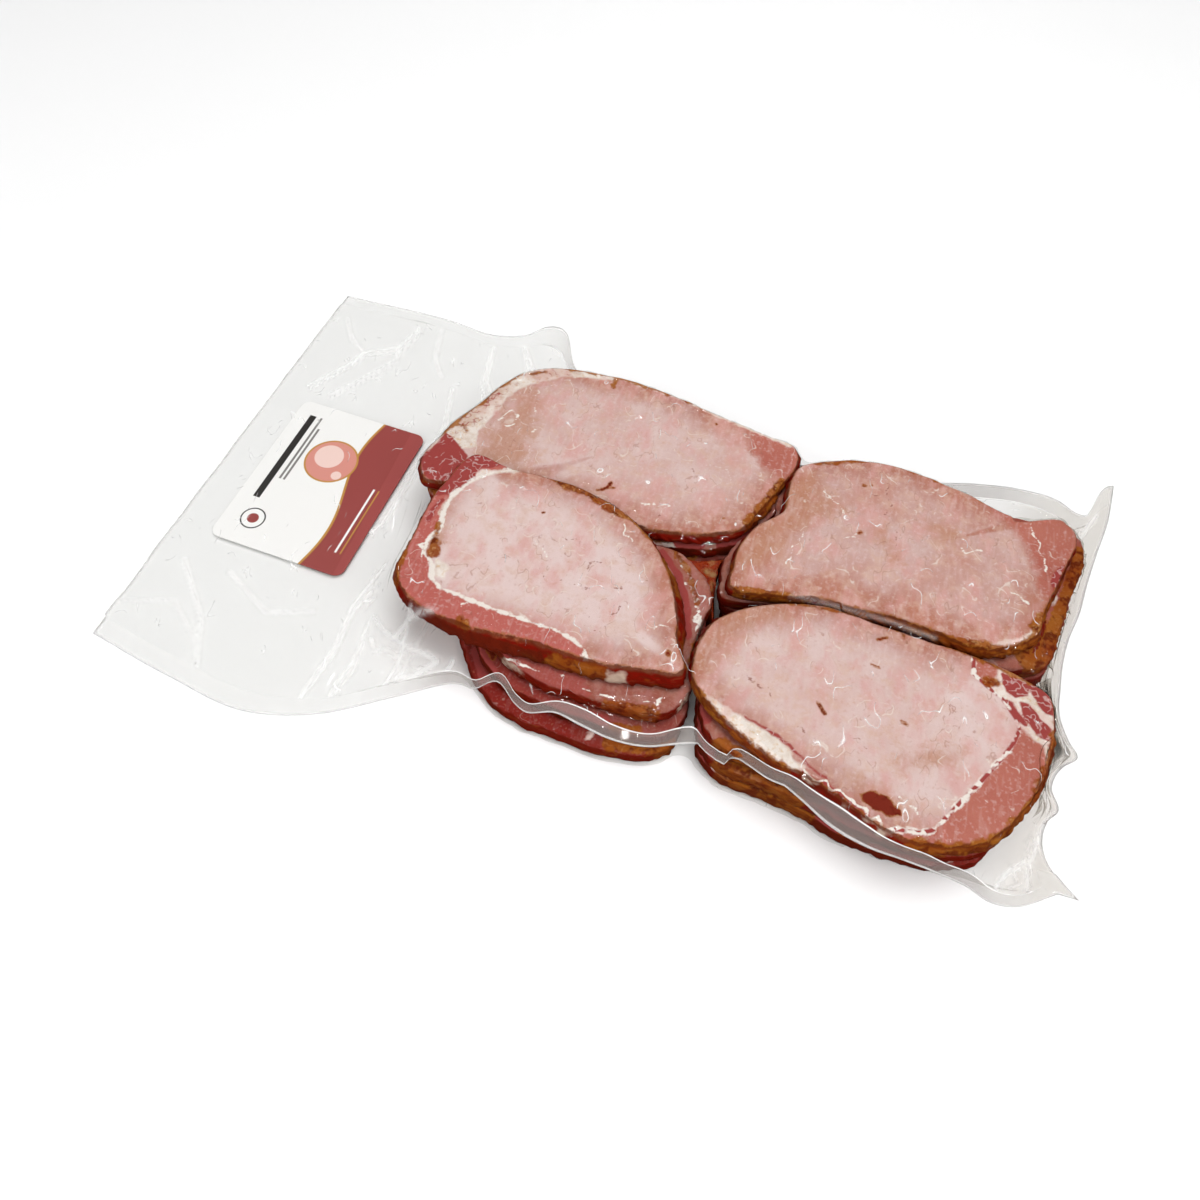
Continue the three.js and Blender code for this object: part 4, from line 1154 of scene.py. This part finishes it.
    colour = paint_over(tree, look.meat, (
        (look.meat_deep, tone), (look.meat_pale, pale, eye, 0.9), (look.meat_beige, beige, eye),
        (look.meat_pink, pinker, eye), (look.meat_brown, brown, 0.7),
        (look.cap, in_cap, field_of(tree, "red")), (look.meat_red, deep, 0.85), (look.rind, lowest_darkening),
        (look.meat_pale, grain, eye, 0.35),
        (look.meat_pale, freckle, 0.5), (look.meat_pale, veins), (look.meat_brown, pores, 0.4),
        (look.crack, cracks, 0.45), (look.fat, painted_glint_lines, 0.55), (look.crack, traced, 0.75),
        (look.fat, fat, 0.9), (look.fat_thin, fat, beige, 0.9), (look.rind_pale, fat, freckle, 0.9),
        (look.meat_pink, fat, pinker, 0.8), (look.meat_brown, fat, brown, 0.4), (look.lean, fat, brown, net),
        (look.lean, lean), (look.meat_pale, lean, net, top_one, 0.55), (look.fat, seam_fat),
        (look.lean, dashes), (look.fat, thread), (look.rind_gold, gold, 0.9), (look.rind, gold, tone, 0.6),
        (look.rind_dark, gold, scorched), (look.rind_pale, gold, freckle, 0.7),
        (look.rind_gold, spot_ring, 0.8), (look.spot, spot), (look.rind_dark, spot, scorched),
        (look.rind_gold, rim_gold, 0.6), (look.rind_dark, rim_dark, 0.75), (look.rind, on_wall),
        (look.rind_gold, on_wall, rind_gold), (look.rind, on_wall, rind_gold, tone, 0.75),
        (look.rind_dark, on_wall, rind_gold, scorched, 0.9), (look.rind_dark, on_wall, rind_deep),
        (look.rind_pale, on_wall, rind_fat), (look.rind_dark, on_wall, lean, 0.8),
        (look.rind_dark, on_wall, wall_darkening_by_depth), (look.fat_thin, on_wall, wall_fat, 0.85)))
    relief = add(tree, "Math", (middling, 4, fine), operation="MULTIPLY_ADD")
    bump = add(tree, "Bump", {"Strength": 0.6, "Distance": 0.2 * MM, "Height": relief})
    gloss = add(tree, "MapRange", (middling, 0.3, 0.7, 0.28, 0.5))
    skin = add(tree, "BsdfPrincipled", {
        "Base Color": colour, "Roughness": gloss, "Normal": bump, "IOR": 1.4, "Specular IOR Level": 0.02})
    add(tree, "OutputMaterial", (skin,))
    return material


def set_juices(look):
    """Meat juice set to jelly over scraps of fat and lean: dark brown and wet, with small bubbles."""
    material, tree, mm = new_material("meat juice, set")
    fine = cloud(tree, mm, 2.5, 4, 0.65)
    scraps = add(tree, "MapRange", (cloud(tree, mm, 9, 4, 0.6), 0.52, 0.64, 0, 0.75))
    lean = add(tree, "MapRange", (fine, 0.5, 0.62, 0, 0.7))
    bubbles = add(tree, "TexVoronoi", {"Vector": mm, "Scale": 1 / 2.6}, output="Distance")
    ring = add(tree, "MapRange", (bubbles, 0.16, 0.24, 1, 0))
    bump = add(tree, "Bump", {"Strength": 0.8, "Distance": 0.5 * MM, "Height": ring})
    bump = add(tree, "Bump", {"Strength": 0.8, "Distance": 1.2 * MM, "Height": fine, "Normal": bump})
    colour = paint_over(tree, look.juice, ((look.juice_fat, scraps), (look.rind, lean)))
    skin = add(tree, "BsdfPrincipled", {
        "Base Color": colour, "Roughness": 0.22, "Normal": bump, "IOR": 1.36})
    add(tree, "OutputMaterial", (skin,))
    return material


def pouch_film(look):
    """Nylon and polyethylene pouch film, blown and welded: clear and glossy where the vacuum holds it
    to the slices, milky grey where it is loose or doubled, with painted highlights in white along its cut
    edges, weld roots, creases and wrinkled film."""
    material, tree, mm = new_material("nylon and polyethylene pouch film, clear")
    loose, crease, edge, held = (field_of(tree, name) for name in ("loose", "crease", "edge", "held"))
    length = add(tree, "SeparateXYZ", (mm,))
    upward = add(tree, "SeparateXYZ", (add(tree, "NewGeometry", output="Normal"),), output=2)
    waves = cloud(tree, mm, 8, 1, 0.5, (1, 0.6, 1), 40)
    tight_here = cloud(tree, mm, 9, 1, 0.5)
    relief = add(tree, "Math", (hairlines(tree, waves, 0.05, tight_here, 0.48), 0.13, waves),
                 operation="MULTIPLY_ADD")
    uneven = add(tree, "MapRange", (length, -90, -60, 0.2, 0.8))
    bump = add(tree, "Bump", {"Strength": uneven, "Distance": 1.3 * MM, "Height": relief})

    # Where the film is: round the slices, in the crumpled far end, or welded to the other film.
    far_end = add(tree, "MapRange", (length, 140, 165))
    at_body = times(tree, add(tree, "MapRange", (length, -80, -50)),
                    add(tree, "MapRange", (far_end, 0, 1, 1, 0.2)))
    welded = add(tree, "MapRange", (held, 0.2, 0.9, 1, 0))
    single = joined(tree, "SUBTRACT", 1, welded)

    # What clouds it: slack and the weld. What whitens it as painted highlights: lines along its root and cut
    # edge, wrinkle squiggles and creases.
    slack = times(tree, add(tree, "MapRange", (loose, 4, 14, 0, 0.01)),
                  add(tree, "MapRange", (at_body, 0, 1, 1, 0)))
    doubled = times(tree, add(tree, "MapRange", (at_body, 0, 1, 0.05, 0.27)), welded)
    # Painted highlights: white lines along the weld's root and along the cut edge, where light glints off
    # the film's edges.
    root = add(tree, "MapRange", (off_middle(tree, held), 0.15, 0.5, 0.7, 0))
    root = times(tree, root, at_body)
    cut = add(tree, "MapRange", (edge, 0.5, 1.3, 0.8, 0))
    lines = times(tree, joined(tree, "ADD", root, cut, use_clamp=True),
                  add(tree, "MapRange", (at_body, 0, 1, 0.35, 1)))
    # Painted glints: short white squiggles on the film's upward faces, where its wrinkles would catch the
    # light.
    painted_wrinkle_glints = times(tree, hairlines(tree, waves, 0.01, tight_here, 0.6), single,
                     add(tree, "MapRange", (upward, 0.5, 0.9)), 0.8)
    # The crease term is the painted highlight along each fold.
    haze_and_glints = joined(tree, "ADD", slack, doubled, lines, painted_wrinkle_glints, times(tree, crease, 0.4),
                  use_clamp=True)

    # The film and flap tints are darker than clear film: besides the film's own tint they hold a painted
    # shadow, as the film casts none.
    tint = paint_over(tree, look.flap_tint, ((look.film_tint, at_body), (look.ear_tint, far_end)))
    clear = add(tree, "BsdfTransparent", {"Color": tint})
    grey = joined(tree, "SUBTRACT", times(tree, welded, at_body), lines, use_clamp=True)
    milk = add(tree, "BsdfDiffuse", {"Color": paint_over(tree, look.film_milk, ((look.weld, grey),))})
    body = add(tree, "MixShader", (haze_and_glints, clear, milk))
    shine = add(tree, "BsdfGlossy", {"Color": (1, 1, 1), "Roughness": 0.08, "Normal": bump})
    facing = add(tree, "LayerWeight", {"Blend": 0.5, "Normal": bump}, output="Facing")
    share = add(tree, "MapRange", (joined(tree, "POWER", facing, 5), 0, 1, 0.004, 0.03))
    add(tree, "OutputMaterial", (add(tree, "MixShader", (share, body, shine)),))
    return material


def label_paper(look):
    """Coated white label paper, offset printed: a dark red field with a thin gold line, a pink disc and
    plain grey bars, under a faint gloss."""
    material, tree, mm = new_material("coated label paper, offset printed")
    on_label = add(tree, "Mapping", {
        "Vector": mm, "Location": (*LABEL_MIDDLE, 0), "Rotation": (0, 0, math.radians(LABEL_TURN))},
        vector_type="TEXTURE")
    u = add(tree, "SeparateXYZ", (on_label,))
    v = add(tree, "SeparateXYZ", (on_label,), output=1)
    wave = add(tree, "Math", (times(tree, v, 0.075),), operation="SINE")
    wave = add(tree, "Math", (wave, 3.5, u), operation="MULTIPLY_ADD")
    layers = [([c * 0.96 for c in look.paper], cloud(tree, mm, 0.8)),
              (look.print_gold, add(tree, "MapRange", (wave, 10.0, 10.2))),
              (look.print_red, add(tree, "MapRange", (wave, 11.0, 11.25)))]
    # Discs, and bars with round ends: the middle, half the width and half the length.
    for cu, cv, half_u, half_v, paint in (
            (-2, 12, 11.5, 0, look.print_gold), (-2, 12, 10.7, 0, look.print_pink),
            (-4, 14, 6.2, 0, look.print_pale), (3.6, 5.8, 2.2, 0, look.print_pale),
            (-21.5, 8, 1.5, 24, look.print_dark), (-17.5, 14, 0.5, 18, look.print_grey),
            (-15.6, 11, 0.5, 15, look.print_grey), (-17, -26, 5.2, 0, look.print_dark),
            (-17, -26, 4.6, 0, look.paper), (-17, -26, 2.4, 0, look.print_red),
            (22, -12, 0.45, 17, look.paper), (24.2, -12, 0.3, 17, look.print_gold)):
        du = off_middle(tree, u, cu)
        dv = off_middle(tree, v, cv)
        if half_v:
            reach = joined(tree, "MAXIMUM", du, joined(tree, "SUBTRACT", dv, half_v - half_u))
        else:
            corner = add(tree, "CombineXYZ", (du, dv))
            reach = add(tree, "VectorMath", (corner,), output="Value", operation="LENGTH")
        layers.append((paint, add(tree, "MapRange", (reach, half_u - 0.12, half_u + 0.12, 1, 0))))
    bump = add(tree, "Bump", {"Strength": 0.3, "Distance": 0.05 * MM, "Height": cloud(tree, mm, 0.6)})
    sheet = add(tree, "BsdfPrincipled", {
        "Base Color": paint_over(tree, look.paper, layers), "Roughness": 0.42, "IOR": 1.5, "Normal": bump})
    add(tree, "OutputMaterial", (sheet,))
    return material


def table_top(look):
    """Painted board, rolled matt white: even and pale, with a faint tooth."""
    material, tree, mm = new_material("board, painted matt white")
    bump = add(tree, "Bump", {"Strength": 0.1, "Distance": 0.05 * MM, "Height": cloud(tree, mm, 1.2, 0)})
    top = add(tree, "BsdfPrincipled", {"Base Color": look.table, "Roughness": 0.8, "Normal": bump})
    add(tree, "OutputMaterial", (top,))
    return material


def light_room(tree):
    """A studio with pale walls and a dim ceiling, for the light that the meat and the table get."""
    tree.nodes.clear()
    up = add(tree, "SeparateXYZ", (add(tree, "TexCoord", output="Generated"),), output=2)
    strength = add(tree, "MapRange", (up, 0.05, 0.5, 0.6, 0.2))
    add(tree, "OutputWorld", (add(tree, "Background", {"Color": (1, 1, 1), "Strength": strength}),))


# ---- The add-on ----

# What a user may change: colours, then sizes in metres.
COLOURS = (
    ("meat", "#B07664", "Pink of the eye of the loin"),
    ("meat_deep", "#9E6150", "Darker grain of the eye"),
    ("meat_pale", "#D9C4C1", "Palest part of a cut face"),
    ("meat_pink", "#CB9791", "Pinker mottles of a cut face"),
    ("meat_beige", "#C9A695", "Drier mottles of a cut face"),
    ("meat_brown", "#AF7C63", "Smoked or bruised part of a cut face"),
    # meat_red, with the rind, makes the slices darker and redder the lower they lie in a stack.
    ("meat_red", "#7C2D27", "Juicier meat of the slices beneath"),
    ("cap", "#B16058", "Redder muscle outside the line of fat"),
    ("lean", "#97423F", "Dark red marbled muscle"),
    ("fat", "#E3DBD3", "White fat"),
    ("fat_thin", "#C2AC9A", "Fat with meat behind it"),
    ("spot", "#74271A", "Dark red spots"),
    ("crack", "#8A5A4C", "Fine gaps in the meat"),
    ("rind", "#760F05", "Dark red smoked rind"),
    ("rind_gold", "#985A1C", "Golden smoked rind"),
    ("rind_pale", "#C9A06A", "Rind over fat, and fat browned by smoke"),
    ("rind_dark", "#561A0B", "Line where the rind meets the cut face"),
    ("juice", "#9C3512", "Meat juice between the stacks"),
    ("juice_fat", "#A98A58", "Scraps of fat in the juice"),
    # The film and flap tints hold a painted shadow besides the film's own tint, as the film casts none.
    ("film_tint", "#F6F6F5", "What clear film lets through"),
    ("ear_tint", "#EAE8E5", "What the crumpled film past the slices lets through"),
    ("flap_tint", "#F3F3F2", "What the empty flap lets through"),
    ("weld", "#9B938F", "The welded ribbon where meat lies behind it"),
    ("film_milk", "#F2F1F0", "Loose or doubled film"),
    ("paper", "#F6F5F3", "Unprinted label"),
    ("print_red", "#98403C", "Red field on the label"),
    ("print_gold", "#C08A3C", "Gold line on the label"),
    ("print_pink", "#D98F82", "Disc on the label"),
    ("print_pale", "#F0CFC6", "Pale part of the disc"),
    ("print_dark", "#2A2624", "Dark bars on the label"),
    ("print_grey", "#7E7A77", "Grey bars on the label"),
    ("table", "#F4F4F4", "The table"),
)
SIZES = (
    ("table_width", 14.0, "Width of the table"),
    ("lamp_width", 1.0, "Width of the main soft light"),
    ("lamp_height", 1.5, "Height of the main soft light"),
)
# Lamps: name, place and power, and the width of all but the key light. Only the sparks show in gloss.
SOFT_LAMPS = (("fill", (0.9, -0.4, 1.3), 0.8, 7), ("front", (-0.3, -1.2, 1.0), 0.9, 9))
KEY_PLACE = (0.1, 0.25)
KEY_POWER = 16
SPARKS = {"back": (-0.15, 1.9, 0.9), "left": (-1.5, 0.35, 0.8), "right": (1.5, 0.3, 0.8),
          "over": (-0.1, -0.4, 1.9), "front": (0.3, -0.9, 1.3)}
SPARK_WIDTH = 0.15
SPARK_POWER = 11


def titled(name):
    """A property's name as a user reads it."""
    return name.replace("_", " ").capitalize()


class LoinPackLook(bpy.types.PropertyGroup):
    """Colours of the meat, film, label and table."""
    __annotations__ = {
        name: bpy.props.FloatVectorProperty(name=titled(name), description=tip, subtype="COLOR", size=3,
                                            min=0, max=1, default=linear(code))
        for name, code, tip in COLOURS}


class LoinPackSizes(bpy.types.PropertyGroup):
    """Sizes of the light and the table."""
    __annotations__ = {
        name: bpy.props.FloatProperty(name=titled(name), description=tip, unit="LENGTH", default=size,
                                      min=0.1)
        for name, size, tip in SIZES}


class LOINPACK_OT_slices(bpy.types.Operator):
    """Lay the sixteen slices in four stacks"""
    bl_idname = "loinpack.slices"
    bl_label = "Slices"

    def execute(self, context):
        material = cut_loin(context.scene.loin_pack_look)
        slices = list_slices()
        for one in slices[:-1]:
            build_slice(one, slices, material)
        return {"FINISHED"}


class LOINPACK_OT_juices(bpy.types.Operator):
    """Fill the hollow between the stacks with set juice"""
    bl_idname = "loinpack.juices"
    bl_label = "Juices"

    def execute(self, context):
        slices = list_slices()
        build_slice(slices[-1], slices, set_juices(context.scene.loin_pack_look))
        return {"FINISHED"}


class LOINPACK_OT_film(bpy.types.Operator):
    """Draw the film tight round the slices and weld it"""
    bl_idname = "loinpack.film"
    bl_label = "Film"

    def execute(self, context):
        build_film(list_slices(), pouch_film(context.scene.loin_pack_look))
        return {"FINISHED"}


class LOINPACK_OT_label(bpy.types.Operator):
    """Print the paper label"""
    bl_idname = "loinpack.label"
    bl_label = "Label"

    def execute(self, context):
        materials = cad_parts["label"].data.materials
        materials.clear()
        materials.append(label_paper(context.scene.loin_pack_look))
        return {"FINISHED"}


class LOINPACK_OT_stage(bpy.types.Operator):
    """Set the table, the soft lights and the camera"""
    bl_idname = "loinpack.stage"
    bl_label = "Stage"

    def execute(self, context):
        scene = context.scene
        sizes = scene.loin_pack_sizes
        bpy.ops.object.select_all(action="DESELECT")
        bpy.ops.mesh.primitive_plane_add(size=sizes.table_width)
        table = context.object
        table.name = "table"
        table.data.materials.append(table_top(scene.loin_pack_look))
        table.visible_glossy = False
        world = bpy.data.worlds.new("soft room")
        scene.world = world
        world.use_nodes = True
        world.cycles_visibility.glossy = False
        light_room(world.node_tree)
        key = ("key", (*KEY_PLACE, sizes.lamp_height), sizes.lamp_width, KEY_POWER)
        sparks = [("spark_" + side, place, SPARK_WIDTH, SPARK_POWER) for side, place in SPARKS.items()]
        for name, place, width, power in (key, *SOFT_LAMPS, *sparks):
            light = bpy.data.lights.new(name, "AREA")
            light.size = width
            light.energy = power
            lamp = bpy.data.objects.new(name, light)
            lamp.location = place
            lamp.visible_glossy = name.startswith("spark")
            lamp.visible_diffuse = not lamp.visible_glossy
            lamp.rotation_mode = "QUATERNION"
            lamp.rotation_quaternion = Vector(place).to_track_quat("Z", "Y")
            scene.collection.objects.link(lamp)
        camera = bpy.data.objects.new("camera", bpy.data.cameras.new("camera"))
        scene.collection.objects.link(camera)
        axes = Matrix((CAMERA_RIGHT, CAMERA_UP, CAMERA_BACK)).transposed().to_4x4()
        camera.matrix_world = Matrix.Translation(Vector(CAMERA_PLACE) * MM) @ axes
        camera.data.lens = CAMERA_LENS
        camera.data.sensor_width = CAMERA_SENSOR
        camera.data.clip_start = 0.01
        camera.data.clip_end = 20
        scene.camera = camera
        scene.view_settings.view_transform = "Standard"
        return {"FINISHED"}


class LOINPACK_PT_panel(bpy.types.Panel):
    """Every step of the pack and what can be changed"""
    bl_label = "Loin pack"
    bl_idname = "LOINPACK_PT_panel"
    bl_space_type = "VIEW_3D"
    bl_region_type = "UI"
    bl_category = "Loin pack"

    def draw(self, context):
        for operator in OPERATORS:
            self.layout.operator(operator.bl_idname)
        for group, rows in ((context.scene.loin_pack_sizes, SIZES), (context.scene.loin_pack_look, COLOURS)):
            for name, *_ in rows:
                self.layout.prop(group, name)


OPERATORS = (LOINPACK_OT_slices, LOINPACK_OT_juices, LOINPACK_OT_film, LOINPACK_OT_label, LOINPACK_OT_stage)
CLASSES = (LoinPackLook, LoinPackSizes, *OPERATORS, LOINPACK_PT_panel)


def register():
    for one in CLASSES:
        bpy.utils.register_class(one)
    bpy.types.Scene.loin_pack_look = bpy.props.PointerProperty(type=LoinPackLook)
    bpy.types.Scene.loin_pack_sizes = bpy.props.PointerProperty(type=LoinPackSizes)


def unregister():
    del bpy.types.Scene.loin_pack_sizes
    del bpy.types.Scene.loin_pack_look
    for one in reversed(CLASSES):
        bpy.utils.unregister_class(one)


def main():
    register()
    bpy.ops.loinpack.slices()
    bpy.ops.loinpack.juices()
    bpy.ops.loinpack.film()
    bpy.ops.loinpack.label()
    bpy.ops.loinpack.stage()


if __name__ == "__main__":
    main()
